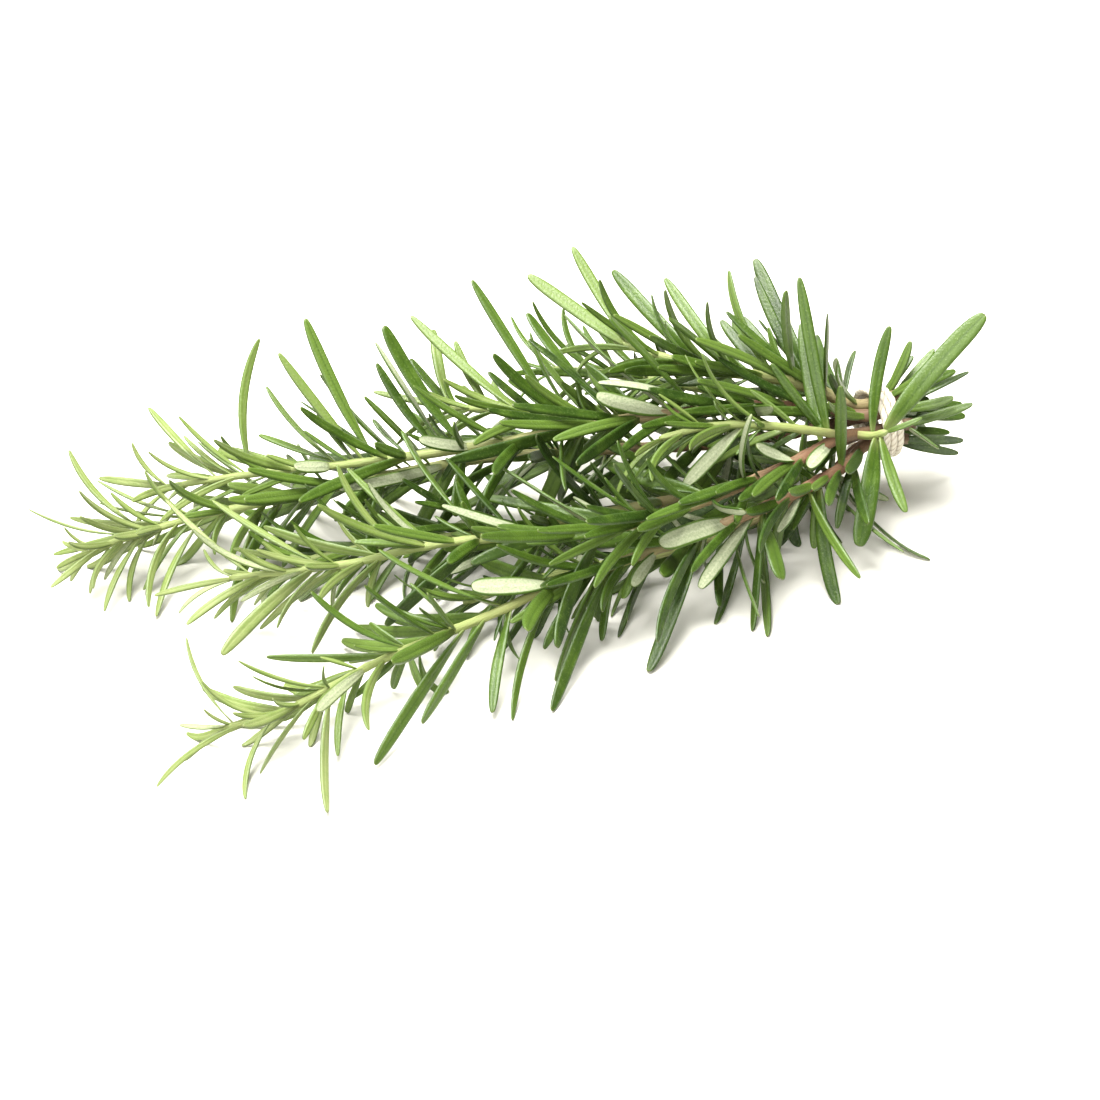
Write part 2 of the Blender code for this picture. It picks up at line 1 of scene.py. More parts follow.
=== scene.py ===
"""Tied bunch of rosemary sprigs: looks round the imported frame."""
import bpy
import numpy as np
from mathutils import Matrix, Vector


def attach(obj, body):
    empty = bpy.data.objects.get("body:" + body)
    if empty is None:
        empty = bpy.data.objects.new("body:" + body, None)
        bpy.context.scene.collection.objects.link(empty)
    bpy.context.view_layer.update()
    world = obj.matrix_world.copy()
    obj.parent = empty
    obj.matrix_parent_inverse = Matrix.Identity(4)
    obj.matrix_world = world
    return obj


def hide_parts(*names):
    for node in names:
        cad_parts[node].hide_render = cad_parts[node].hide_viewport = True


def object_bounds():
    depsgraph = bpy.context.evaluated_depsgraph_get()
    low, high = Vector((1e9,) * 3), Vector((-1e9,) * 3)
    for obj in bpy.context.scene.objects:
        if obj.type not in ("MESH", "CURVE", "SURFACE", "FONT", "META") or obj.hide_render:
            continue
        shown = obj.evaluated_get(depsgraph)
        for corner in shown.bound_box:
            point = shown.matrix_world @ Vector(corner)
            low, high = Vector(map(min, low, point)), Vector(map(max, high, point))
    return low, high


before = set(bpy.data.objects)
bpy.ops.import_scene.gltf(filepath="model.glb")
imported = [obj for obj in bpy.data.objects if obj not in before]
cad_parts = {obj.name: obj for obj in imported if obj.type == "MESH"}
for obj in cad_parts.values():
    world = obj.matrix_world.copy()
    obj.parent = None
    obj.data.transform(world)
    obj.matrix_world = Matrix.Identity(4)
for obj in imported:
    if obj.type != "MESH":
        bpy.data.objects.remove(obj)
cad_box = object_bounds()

# Stems
# Each sprig is one square-edged woody stem, red-brown where it was cut, tan further up and soft
# yellow-green at the growing tip. Side shoots grow out of it. All are tubes carried along their grown
# lines, in millimetres.
MM = 0.001
# From the growth frame to the middle of the bounding box
TO_CENTRE = np.array([-1.18, 2.76, -0.3])
# Middle of the tie, the ring on which the stems pass it, and how far they run straight on both sides
TIE = np.array([76.0, 1.0, 17.0])
SLOT_RING = 4.6
STRAIGHT_OUT = 2
STRAIGHT_IN = 5
# Radius at the cut, at the foot of a side shoot and at the tip, and how far stems spread past the tie
STEM_BASE = 1.25
SHOOT_BASE = 0.9
STEM_TIP = 0.6
SPREAD = 0.12
# A stem starts to thin this far from its cut, by this power of the way to its tip
WOODY = 18.0
THINNING = 1.3
# Distances from the tip back to the leaf pairs grow like this
INTERNODES = [2.0, 3.5, 4.5, 5.5, 6.5, 8.0, 9.5, 10.5, 11.5, 12.0]

# Each sprig: its place round the tie in degrees (0 to the front, 90 up), where it is cut, the roll of its
# first leaf pair, its way from the tie to the tip, and its leaves that stand out. Such a leaf has its
# distance from the cut end, its roll round the stem (0 up, 90 to the back), its opening from the stem, its
# bend, its length and its width, and -1 at the end where it shows its underside. Leaves lie over the stem
# as far as it is covered.
SPRIGS = {
    "sprig_upper": dict(
        slot=60, cut=82, covered=75, phase=20,
        route=[(60, 3, 23), (46, 5, 25), (33, 6, 26), (20, 8, 26), (1, 10, 25), (-13, 14, 23),
               (-31, 21, 20), (-42, 26, 18), (-54, 31, 16), (-66, 35, 14)],
        noted=[(2, 156, 160, 0, 14, 2.2), (2.5, 126, 130, 0, 7, 2.2),
               (52, -5, 15, 10, 17, 4.2, -1), (63, 60, 60, 12, 30, 3.8), (93, -40, 45, 10, 14, 3.4, -1),
               (99, 35, 55, 15, 22, 2.4), (112, 30, 65, 12, 32, 3), (114, 25, 55, 8, 28, 2.4),
               (119, 70, 30, 0, 20, 2.8), (121, -55, 60, 0, 11, 3.4, -1), (129, 85, 30, 0, 19, 3.2),
               (137, 45, 75, 45, 29, 2.2), (144, 65, 50, 10, 24, 2.4), (154, 30, 35, 50, 12, 1.3),
               (154, 80, 20, 5, 16, 2)]),
    "sprig_far_left": dict(
        slot=195, cut=83, phase=50,
        route=[(60, 7, 14.5), (45, 10, 13.5), (28, 14, 14), (3, 19, 15), (-11, 21, 15), (-24, 23, 14),
               (-40, 25, 12), (-59, 27, 11), (-71, 27, 10), (-84, 26, 9)],
        noted=[(2, -102, 154, 0, 16, 2.8), (2.5, -92, 139, 0, 10, 2), (3, -113, 127, 0, 9, 1.8),
               (133, -115, 55, 20, 29, 2.2), (157, 55, 45, 45, 24, 2.2), (158, -125, 30, 30, 19, 1.6),
               (165, -140, 30, 35, 11, 1.3), (167, -90, 25, 5, 15, 1.5), (170, 95, 45, 40, 8, 1.2)]),
    "sprig_middle": dict(
        slot=15, cut=81.5, covered=90, phase=-12,
        route=[(63, -6.5, 20.5), (50, -11.5, 20.5), (28, -17, 20), (11, -19, 20), (-2, -16, 19),
               (-16, -10, 18), (-27, -6, 16), (-38, -5, 15), (-50, -2, 14), (-62, 3, 12)],
        noted=[(1.5, 105, 131, 0, 8, 2),
               (22, 30, 100, 5, 34, 2.8), (22, -65, 20, 0, 12, 3.4, -1), (24, 50, 115, 5, 27, 3),
               (32, 5, 30, 15, 13, 3.4, -1), (34, -150, 65, 15, 23, 2.6), (70, 95, 45, 8, 35, 2.6),
               (74, -30, 10, 0, 20, 3), (90, -35, 25, 5, 14, 2), (110, 50, 45, 12, 24, 2),
               (132, 50, 35, 8, 26, 2), (134, -105, 35, 20, 27, 3), (144, -90, 30, 35, 20, 1.9),
               (146, 45, 40, 12, 24, 1.6), (150, -65, 15, 40, 17, 1.5)]),
    "sprig_lowest": dict(
        slot=330, cut=80.5, covered=84, phase=35,
        route=[(64, -9, 15.5), (56, -13.5, 16.5), (48, -17, 17), (33, -20, 16), (16, -21, 14),
               (-4, -22, 12), (-17, -25, 11), (-34, -28, 10), (-45, -30, 9), (-55, -33, 8), (-64, -35, 7),
               (-75, -35, 6.5)],
        noted=[(14, -160, 15, 20, 19, 2.2), (44, -100, 65, 0, 19, 4.6), (46, -140, 25, 5, 20, 3.4, -1),
               (52, -30, 12, 0, 19, 4.8, -1), (58, -125, 45, 0, 32, 3.4), (68, -100, 30, 10, 11, 3.2, -1),
               (78, -115, 45, 5, 35, 3), (90, -115, 35, 25, 32, 2), (90, 10, 20, 0, 18, 4.4, -1),
               (100, -120, 40, 15, 24, 2.6), (110, -115, 30, 5, 37, 3), (120, -125, 65, 110, 15, 2.2),
               (136, -120, 35, 25, 17, 1.7), (140, -105, 45, 15, 30, 2.2), (150, 95, 40, 40, 20, 2.2),
               (158, -90, 10, 45, 25, 1.3), (160, 65, 60, 40, 21, 1.3)]),
    "sprig_back_top": dict(
        slot=105, cut=82.5, covered=46, phase=0,
        route=[(64, 6, 24.5), (56, 8.5, 27.5), (47, 11, 29.5), (41, 14, 31), (34, 19, 32), (28, 27, 32)],
        noted=[(2, 139, 137, 5, 9, 2.4), (2.5, 129, 166, 5, 16, 2.6),
               (21, 65, 55, 8, 32, 3.4), (22, 65, 50, 15, 27, 2.4), (25, 85, 60, 5, 21, 2.2),
               (31, 80, 60, 5, 18, 2.6), (38, 75, 55, 8, 28, 2.8), (45, 80, 40, 8, 32, 3.2),
               (60, 35, 35, 5, 26, 2.8), (61, -5, 20, 5, 26, 3.4)]),
    "sprig_back_low": dict(
        slot=150, cut=82.5, phase=34,
        route=[(62, 9.5, 18.5), (50, 15, 21), (40, 22, 22), (29, 32, 21), (20, 41, 19)],
        noted=[(2, 129, 165, 5, 8, 2), (2.5, -161, 151, 0, 12, 2.4),
               (9, 70, 90, 8, 22, 3.6), (9, 55, 135, -20, 23, 2.6)]),
    "sprig_under_back": dict(
        slot=240, cut=82, phase=15,
        route=[(62, 4, 9.5), (44, 3, 7.5), (20, 4, 7), (-5, 6, 7), (-30, 10, 7), (-44, 11, 6.5)],
        noted=[]),
    "sprig_under_front": dict(
        slot=285, cut=81, phase=60,
        route=[(62, -4, 9.5), (44, -10, 8), (22, -13, 7), (0, -12, 7), (-20, -14, 6.5)],
        noted=[]),
}
# Side shoots leave their sprig's axis and are one with it
SHOOTS = {
    "upper_shoot": dict(
        sprig="sprig_upper", phase=70,
        route=[(20, 8, 26), (14, 10, 27), (6, 14, 27.5), (-1, 20, 26.5), (-8, 26, 25)],
        noted=[(11, 40, 50, 4, 33, 2.8), (19, 30, 30, 8, 31, 2.6), (25, 25, 45, 20, 19, 2.2),
               (34, -35, 25, 0, 16, 1.8), (34, 60, 60, 12, 20, 2.6)]),
    "middle_shoot": dict(
        sprig="sprig_middle", phase=10,
        route=[(66, -5.7, 19.8), (56, -8, 25), (46, -7, 28), (36, -5, 29), (25, -4, 28)],
        noted=[(10, 100, 75, 5, 19, 2.6), (16, 105, 55, 5, 35, 2.4), (26, -160, 45, 5, 17, 3.4, -1)]),
    "front_shoot": dict(
        sprig="sprig_middle", phase=-60,
        route=[(68, -4.8, 19.2), (70, -8, 20.5), (72, -10.5, 22.5)],
        noted=[(4, -40, 95, -25, 23, 2.8), (5, 130, 90, 10, 24, 4.4), (6, 140, 80, -10, 18, 2.8),
               (7, -65, 60, -15, 32, 4.6)]),
}


def unit(v):
    return v / np.linalg.norm(v, axis=-1, keepdims=True)


def run_along(line):
    """Distance of each point from the line's first, added up from point to point."""
    return np.concatenate([[0], np.cumsum(np.linalg.norm(np.diff(line, axis=0), axis=1))])


def points_at(at, run, line):
    """Points of a line at the given distances along it."""
    return np.stack([np.interp(at, run, line[:, k]) for k in range(3)], 1)


SPAN_CUTS = 24


def smooth_line(points, step=1.0):
    """Cubic spans whose slopes follow the neighbouring points, cut into even steps: points, their runs."""
    p = np.asarray(points, float)
    slope = np.gradient(p, axis=0)
    u = np.linspace(0, 1, SPAN_CUTS, endpoint=False)[:, None]
    start = 2 * u**3 - 3 * u**2 + 1
    leave = u**3 - 2 * u**2 + u
    arrive = u**3 - u**2
    spans = []
    for k in range(len(p) - 1):
        spans.append(start * p[k] + leave * slope[k] + (1 - start) * p[k + 1] + arrive * slope[k + 1])
    fine = np.concatenate(spans + [p[-1:]])
    run = run_along(fine)
    at = np.linspace(0, run[-1], int(round(run[-1] / step)) + 1)
    return points_at(at, run, fine), at


class Stem:
    """A sprig's stem or a side shoot: its line from foot to tip, with radii and directions along it."""

    def __init__(self, name, node, route, base, phase, noted, covered=0):
        self.name = name
        self.node = node
        self.phase = phase
        self.noted = noted
        self.covered = covered
        self.line, self.run = smooth_line(route)
        self.length = self.run[-1]
        self.main = base == STEM_BASE
        woody = WOODY if self.main else 0.0
        thinning = 1 - np.clip((self.run - woody) / (self.length - woody), 0, 1) ** THINNING
        self.radius = STEM_TIP + (base - STEM_TIP) * thinning
        self.along = unit(np.gradient(self.line, axis=0))
        self.up = unit(np.array([0.0, 0.0, 1.0]) - self.along[:, 2:] * self.along)
        self.back = np.cross(self.along, self.up)

    def at(self, run, values):
        return np.array([np.interp(run, self.run, values[:, k]) for k in range(3)])


def all_stems():
    stems = []
    for name, sprig in SPRIGS.items():
        a = np.radians(sprig["slot"])
        y = TIE[1] - SLOT_RING * np.cos(a)
        z = TIE[2] + SLOT_RING * np.sin(a)
        spread = SPREAD * (sprig["cut"] - TIE[0])
        cut = (sprig["cut"], y - spread * np.cos(a), z + spread * np.sin(a))
        through = [cut, (TIE[0] + STRAIGHT_OUT, y, z), (TIE[0] - STRAIGHT_IN, y, z)]
        stems.append(Stem(name, name, through + sprig["route"], STEM_BASE, sprig["phase"], sprig["noted"],
                          sprig.get("covered", 0)))
    for name, shoot in SHOOTS.items():
        stems.append(Stem(name, shoot["sprig"], shoot["route"], SHOOT_BASE, shoot["phase"],
                          shoot["noted"]))
    return stems


STEM_SIDES = 24
STEM_STEP = 0.9
# How far a stem is from wood, red-brown, at its foot. At its tip all are 1, soft and green.
FOOT_AGE = {"sprig_back_top": 0.25, "sprig_back_low": 0.25, "upper_shoot": 0.52, "middle_shoot": 0.48,
            "front_shoot": 0.5}
# Shares of the radius: the four edges, the knuckle at each leaf pair and two waves along the stem
STEM_RIDGES = 0.05
KNUCKLE = 0.13
SLOW_WAVE = 0.03
QUICK_WAVE = 0.02
# Share of the radius that is worn off at the cut's rim
RIM_WEAR = 0.12
# Lengths: a knuckle's reach, the wood without knuckles by the cut, its rim, and the rounded tip
KNUCKLE_REACH = 1.1
NO_KNUCKLE = 6
CUT_RIM = 0.35
TIP_ROUND = 0.6


def tube_points(line, ring, up, side):
    """Closed tube: its first end, then round each point of the line, at the radii in ring, the points
    cos a x up + sin a x side with a going once round, then its last end."""
    a = np.linspace(0, 2 * np.pi, ring.shape[1], endpoint=False)
    round_it = np.cos(a)[:, None] * up[:, None] + np.sin(a)[:, None] * side[:, None]
    skin = line[:, None] + ring[..., None] * round_it
    return np.concatenate([line[:1], skin.reshape(-1, 3), line[-1:]])


def tube_faces(rings, sides):
    """Faces of such a tube: a quad between every two neighbours on two rings and a fan of triangles over
    each end, all facing outwards."""
    here = np.arange(sides)
    turn = (here + 1) % sides
    low = 1 + sides * np.arange(rings - 1)[:, None]
    quads = np.stack([low + here, low + turn, low + sides + turn, low + sides + here], -1)
    last = 1 + sides * (rings - 1)
    foot = np.stack([0 * here, 1 + turn, 1 + here], -1)
    tip = np.stack([last + sides + 0 * here, last + here, last + turn], -1)
    return quads.reshape(-1, 4).tolist() + foot.tolist() + tip.tolist()


def tube_values(first, on_rings, last):
    """One value for each point of such a tube."""
    return np.concatenate([[first], on_rings.reshape(-1), [last]])


def stem_surface(stem):
    """Tube along the stem. Radius = grown radius x (1 + knuckles at the leaf pairs + two sine waves along
    it) x (1 + ridges x cos 4a), a being the angle round it. The ends close to a point."""
    run = np.linspace(0, stem.length, int(stem.length / STEM_STEP) + 2)
    line = points_at(run, stem.run, stem.line)
    way = unit(np.gradient(line, axis=0))
    up = unit(np.array([0.0, 0.0, 1.0]) - way[:, 2:] * way)
    a = np.linspace(0, 2 * np.pi, STEM_SIDES, endpoint=False)
    pairs = stem.length - np.cumsum(INTERNODES + INTERNODES[-1:] * 20)
    near = np.exp(-((run[:, None] - pairs) / KNUCKLE_REACH) ** 2).sum(1) * (run > NO_KNUCKLE)
    lump = SLOW_WAVE * np.sin(run * 1.7 + stem.phase) + QUICK_WAVE * np.sin(run * 4.1 + 2 * stem.phase)
    grown = np.interp(run, stem.run, stem.radius) * (1 + KNUCKLE * near + lump)
    rim = np.clip(1 - (CUT_RIM - run) / CUT_RIM * RIM_WEAR, 1 - RIM_WEAR, 1)
    tip = np.clip((stem.length - run) / TIP_ROUND, 0.35, 1) ** 0.5
    ring = (grown * rim * tip)[:, None] * (1 + STEM_RIDGES * np.cos(4 * a))
    points = tube_points(line, ring, up, np.cross(way, up))
    each = np.ones_like(ring)
    foot = FOOT_AGE.get(stem.name, 0.0)
    young = foot + (1 - foot) * run / stem.length
    return points, tube_faces(len(run), STEM_SIDES), dict(
        run=tube_values(0, each * run[:, None], stem.length),
        young=tube_values(foot, each * young[:, None], 1),
        cut=tube_values(1, 0 * each, 0),
        turn=tube_values(0, each * a, 0))


def made_piece(name, surfaces, material):
    """One mesh object of several surfaces, smooth, with each surface's values as point attributes. What
    would pass below the surface it lies on is pressed flat."""
    points, faces, values = [], [], {}
    start = 0
    for own_points, own_faces, own_values in surfaces:
        points.append(own_points)
        faces += [[k + start for k in face] for face in own_faces]
        for key, value in own_values.items():
            values.setdefault(key, []).append(value)
        start += len(own_points)
    place = (np.concatenate(points) + TO_CENTRE) * MM
    place[:, 2] = np.maximum(place[:, 2], 0.0)
    mesh = bpy.data.meshes.new(name)
    mesh.from_pydata(place.tolist(), [], faces)
    mesh.polygons.foreach_set("use_smooth", np.ones(len(mesh.polygons), bool))
    for key, value in values.items():
        layer = mesh.attributes.new(key, "FLOAT", "POINT")
        layer.data.foreach_set("value", np.concatenate(value).astype(np.float32))
    mesh.materials.append(material)
    piece = bpy.data.objects.new(name, mesh)
    bpy.context.scene.collection.objects.link(piece)
    return piece


def node(tree, kind, **values):
    """A shader node. A value whose name starts with s_ goes to that socket, any other is a setting."""
    made = tree.nodes.new(kind)
    for key, value in values.items():
        if key.startswith("s_"):
            socket = key[2:].replace("_", " ")
            made.inputs[int(socket) if socket.isdigit() else socket].default_value = value
        else:
            setattr(made, key, value)
    return made


def ramp(tree, share, stops):
    """Colour from stops of place and colour, taken at a share."""
    made = tree.nodes.new("ShaderNodeValToRGB")
    band = made.color_ramp
    while len(band.elements) < len(stops):
        band.elements.new(0.5)
    for element, (place, colour) in zip(band.elements, stops):
        element.position = place
        element.color = (*colour, 1.0)
    tree.links.new(share, made.inputs["Fac"])
    return made.outputs["Color"]


# The broad speckle is this much coarser than the fine one
BROAD_SHARE = 0.11


def speckle_group():
    """Group: speckle on Object coordinates at two scales, each a value from 0 to 1."""
    group = bpy.data.node_groups.new("fine_speckle", "ShaderNodeTree")
    group.interface.new_socket("Scale", in_out="INPUT", socket_type="NodeSocketFloat")
    group.interface.new_socket("Fine", in_out="OUTPUT", socket_type="NodeSocketFloat")
    group.interface.new_socket("Broad", in_out="OUTPUT", socket_type="NodeSocketFloat")
    take = group.nodes.new("NodeGroupInput")
    give = group.nodes.new("NodeGroupOutput")
    place = group.nodes.new("ShaderNodeTexCoord")
    fine = node(group, "ShaderNodeTexNoise", s_Detail=3.0, s_Roughness=0.6)
    broad = node(group, "ShaderNodeTexNoise", s_Detail=2.0, s_Roughness=0.5)
    share = node(group, "ShaderNodeMath", operation="MULTIPLY", s_1=BROAD_SHARE)
    group.links.new(place.outputs["Object"], fine.inputs["Vector"])
    group.links.new(place.outputs["Object"], broad.inputs["Vector"])
    group.links.new(take.outputs["Scale"], fine.inputs["Scale"])
    group.links.new(take.outputs["Scale"], share.inputs[0])
    group.links.new(share.outputs[0], broad.inputs["Scale"])
    group.links.new(fine.outputs["Fac"], give.inputs["Fine"])
    group.links.new(broad.outputs["Fac"], give.inputs["Broad"])
    return group


SPECKLE = speckle_group()


def speckle(tree, scale):
    """The speckle group at a scale: its fine and its broad value."""
    made = tree.nodes.new("ShaderNodeGroup")
    made.node_tree = SPECKLE
    made.inputs["Scale"].default_value = scale
    return made.outputs["Fine"], made.outputs["Broad"]


def new_material(name, roughness):
    """A material with its node tree and its shader."""
    made = bpy.data.materials.new(name)
    made.use_nodes = True
    shader = made.node_tree.nodes["Principled BSDF"]
    shader.inputs["Roughness"].default_value = roughness
    return made, made.node_tree, shader


def mixed(tree, share, a, b):
    """Colour a to b by a share. Each is a socket or a value."""
    made = node(tree, "ShaderNodeMix", data_type="RGBA")
    for socket, value in ((made.inputs[0], share), (made.inputs[6], a), (made.inputs[7], b)):
        if isinstance(value, bpy.types.NodeSocket):
            tree.links.new(value, socket)
        elif socket == made.inputs[0]:
            socket.default_value = value
        else:
            socket.default_value = (*value, 1.0)
    return made.outputs[2]


def worked(tree, operation, a, b=None, c=None):
    """One Math node. Each input is a socket or a number."""
    made = node(tree, "ShaderNodeMath", operation=operation)
    for socket, value in zip(made.inputs, (a, b, c)):
        if isinstance(value, bpy.types.NodeSocket):
            tree.links.new(value, socket)
        elif value is not None:
            socket.default_value = value
    return made.outputs[0]


def eased(tree, value, low, high, out_low=0.0, out_high=1.0):
    """A value between low and high, spread smoothly over the way from out_low to out_high."""
    made = node(tree, "ShaderNodeMapRange", clamp=True, interpolation_type="SMOOTHSTEP",
                s_From_Min=low, s_From_Max=high, s_To_Min=out_low, s_To_Max=out_high)
    tree.links.new(value, made.inputs["Value"])
    return made.outputs["Result"]


def vector(tree, *parts):
    """A vector of up to three sockets."""
    made = node(tree, "ShaderNodeCombineXYZ")
    for part, socket in zip(parts, made.inputs):
        tree.links.new(part, socket)
    return made.outputs[0]


def bumped(tree, shader, height, distance):
    made = node(tree, "ShaderNodeBump", s_Strength=1.0, s_Distance=distance)
    tree.links.new(height, made.inputs["Height"])
    tree.links.new(made.outputs["Normal"], shader.inputs["Normal"])


def attribute(tree, name):
    return node(tree, "ShaderNodeAttribute", attribute_name=name).outputs["Fac"]


# Bark: streaks that follow the stem, by these scales along and round it, and their height in metres
STREAK_ALONG = 0.35
STREAK_ROUND = 4.0
BARK_RELIEF = 0.00012

stem_material, tree, shader = new_material("rosemary_stem", 0.6)
fine, broad = speckle(tree, 2600.0)
young = attribute(tree, "young")
turn = attribute(tree, "turn")
grown = worked(tree, "MULTIPLY_ADD", broad, 0.16, worked(tree, "SUBTRACT", young, 0.08))
bark = ramp(tree, grown, [
    (0.0, (0.11, 0.070, 0.036)), (0.21, (0.19, 0.095, 0.052)), (0.32, (0.23, 0.165, 0.085)),
    (0.48, (0.23, 0.230, 0.085)), (0.72, (0.225, 0.275, 0.080)), (1.0, (0.21, 0.26, 0.080))])
streak_node = node(tree, "ShaderNodeTexNoise", s_Scale=1.0, s_Detail=3.0)
tree.links.new(vector(tree, worked(tree, "MULTIPLY", attribute(tree, "run"), STREAK_ALONG),
                      worked(tree, "MULTIPLY", worked(tree, "SINE", turn), STREAK_ROUND),
                      worked(tree, "MULTIPLY", worked(tree, "COSINE", turn), STREAK_ROUND)),
               streak_node.inputs["Vector"])
streak = streak_node.outputs["Fac"]
dark = eased(tree, streak, 0.45, 0.72, 0.0, 0.4)
woody = worked(tree, "MULTIPLY", dark, eased(tree, young, 0.3, 0.7, 1.0, 0.3))
streaked = mixed(tree, woody, bark, (0.11, 0.060, 0.025))
felt = mixed(tree, eased(tree, fine, 0.5, 0.8, 0.0, 0.18), streaked, (0.36, 0.37, 0.22))
wood = mixed(tree, attribute(tree, "cut"), felt, (0.62, 0.55, 0.34))
tree.links.new(wood, shader.inputs["Base Color"])
bumped(tree, shader, worked(tree, "MULTIPLY_ADD", fine, 0.6, streak), BARK_RELIEF)

stems = all_stems()
for name in SPRIGS:
    tubes = [stem_surface(stem) for stem in stems if stem.node == name]
    piece = made_piece(name + "_stem", tubes, stem_material)
    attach(piece, "root")
    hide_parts(name)


# Twine tie
# Three turns of raw cream cotton twine hold the stems. It is three strands twisted together, and its ends
# cross over the turns to an overhand knot at the back, low down, with two short trimmed tails.
TWINE = 1.4
TWINE_PITCH = 1.5
TWINE_TURNS = 3
TWINE_RING = 7.1
# Place of the knot round the tie, how far round the ends come to it, and how far they rise over the turns
KNOT_ANGLE = -35.0
END_SWEEP = 40
END_RISE = 1.35
# The two tails: how far each leans along the bunch and drops round it
TAILS = ((2.6, -20), (-2.2, -14))


def ring_point(angle, radius, x):
    """Point round the tie: 0 degrees to the back, 90 up."""
    a = np.radians(angle)
    return np.stack([x + 0 * a, TIE[1] + radius * np.cos(a), TIE[2] + radius * np.sin(a)], -1)


def twine_lines():
    """The coil, the two ends that cross over it to the knot, and the two cut tails."""
    turn = np.linspace(0, TWINE_TURNS, TWINE_TURNS * 14 + 1)
    half = TWINE_TURNS * TWINE_PITCH / 2
    start = KNOT_ANGLE + END_SWEEP
    coil = ring_point(start + 360 * turn, TWINE_RING, TIE[0] - half + TWINE_PITCH * turn)
    s = np.linspace(0, 1, 6)
    rise = TWINE_RING + END_RISE * np.sin(np.pi / 2 * np.clip(1.6 * s, 0, 1))
    first = ring_point(start - END_SWEEP * s, rise, TIE[0] - half * (1 - s))
    last = ring_point(start - END_SWEEP * s + 18 * np.sin(np.pi * s), rise, TIE[0] + half * (1 - s))
    knot = ring_point(KNOT_ANGLE, TWINE_RING + 1.6, TIE[0])
    tails = []
    for lean, drop in TAILS:
        tail = [knot]
        for fall, height, reach in ((0.5, 2.6, 0.6), (1.3, 2.9, 1.3), (2.2, 2.4, 2.0)):
            tail.append(ring_point(KNOT_ANGLE + fall * drop, TWINE_RING + height, TIE[0] + reach * lean))
        tails.append(np.stack(tail))
    return coil, first, last, knot, tails


# The twine's strands, the length of one full twist, and its surface: points round it and step along it
PLIES = 3
LAY = 4.2
TWINE_SIDES = 18
TWINE_STEP = 0.28
# Share of the radius between two strands, and what a strand stands out by
TWINE_CORE = 0.86
STRAND_BULGE = 0.18


def plied_surface(line):
    """Cord along a line, strands wound round each other. Radius = half the twine x (core + bulge x
    |cos(plies / 2 x (a - 2 pi run / lay))|^0.8), a being the angle round it. The ends close to a point."""
    run = run_along(line)
    at = np.linspace(0, run[-1], max(8, int(run[-1] / TWINE_STEP)))
    line = points_at(at, run, line)
    for _ in range(4):
        line[1:-1] = (line[:-2] + 2 * line[1:-1] + line[2:]) / 4
    way = unit(np.gradient(line, axis=0))
    out = line - TIE
    out[:, 0] = 0
    out = unit(out - (out * way).sum(-1, keepdims=True) * way)
    a = np.linspace(0, 2 * np.pi, TWINE_SIDES, endpoint=False)
    strand = np.abs(np.cos(PLIES / 2 * (a - 2 * np.pi * at[:, None] / LAY)))
    ring = TWINE / 2 * (TWINE_CORE + STRAND_BULGE * strand ** 0.8)
    points = tube_points(line, ring, out, np.cross(way, out))
    long = at[:, None] * np.ones(TWINE_SIDES)
    return points, tube_faces(len(at), TWINE_SIDES), dict(
        strand=tube_values(0.5, strand, 0.5), run=tube_values(0, long, at[-1]))


# Room that the knot takes up, and its size across and in depth
KNOT_RADIUS = 2.2
KNOT_SPREAD = 0.58
KNOT_DEPTH = 0.62


def knot_line(middle):
    """Overhand knot: x = sin t + 2 sin 2t, y = cos t - 2 cos 2t, z = -sin 3t, scaled, laid on the turns."""
    t = np.linspace(0, 2 * np.pi, 90)
    a = np.radians(KNOT_ANGLE)
    out = np.array([0.0, np.cos(a), np.sin(a)])
    flat = np.array([0.0, -np.sin(a), np.cos(a)])
    x = (np.sin(t) + 2 * np.sin(2 * t)) * KNOT_SPREAD
    y = (np.cos(t) - 2 * np.cos(2 * t)) * KNOT_SPREAD
    z = -np.sin(3 * t) * KNOT_DEPTH
    return middle + np.array([1.0, 0.0, 0.0]) * x[:, None] + flat * y[:, None] + out * z[:, None]


# Height of the fibres in metres
FIBRE_RELIEF = 0.00012

twine_material, tree, shader = new_material("cotton_twine", 0.9)
fine, broad = speckle(tree, 5200.0)
strand = attribute(tree, "strand")
# The cream is painted darker in the grooves between the twisted strands: painted shade.
groove_shaded_cream = mixed(tree, eased(tree, strand, 0.0, 0.75), (0.56, 0.47, 0.34), (0.90, 0.84, 0.72))
cotton = mixed(tree, eased(tree, broad, 0.35, 0.7, 0.0, 0.4), groove_shaded_cream, (0.84, 0.77, 0.63))
tree.links.new(cotton, shader.inputs["Base Color"])
fibre = node(tree, "ShaderNodeTexWave", s_Scale=1.4, s_Distortion=2.0, s_Detail=2.0, bands_direction="X")
tree.links.new(vector(tree, worked(tree, "MULTIPLY", attribute(tree, "run"), 2.0), strand),
               fibre.inputs["Vector"])
bumped(tree, shader, worked(tree, "MULTIPLY_ADD", fibre.outputs["Fac"], 0.5, fine), FIBRE_RELIEF)

coil, first, last, knot, tails = twine_lines()
cords = [plied_surface(line) for line in [coil, first, last, knot_line(knot)] + tails]
tie = made_piece("twine_turns", cords, twine_material)
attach(tie, "root")
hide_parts("twine_tie")


# Leaves
# Needle leaves in crossed pairs: dark, smooth and slightly glossy above with a groove down the middle,
# pale and felted below with a raised rib, both long edges rolled under. They are light yellow-green at
# the tips.
TRIES = 24
FIRST_TRIES = 6
STEPS = 12
STATIONS = np.linspace(0, 1, STEPS + 1)
# Half of a blade's thickness, and the clear gaps to other sprigs and to the own one
HALF_THICK = 0.5
GAP = 0.35
OWN_GAP = 0.15
# Height kept over the surface, how softly leaves bend up to it, how far that bend is let down again, and
# how deep leaves may hang before it
FLOOR_CLEAR = 0.6
FLOOR_SOFT = 1.0
FLOOR_SINK = 0.15
DEEPEST = -3.0
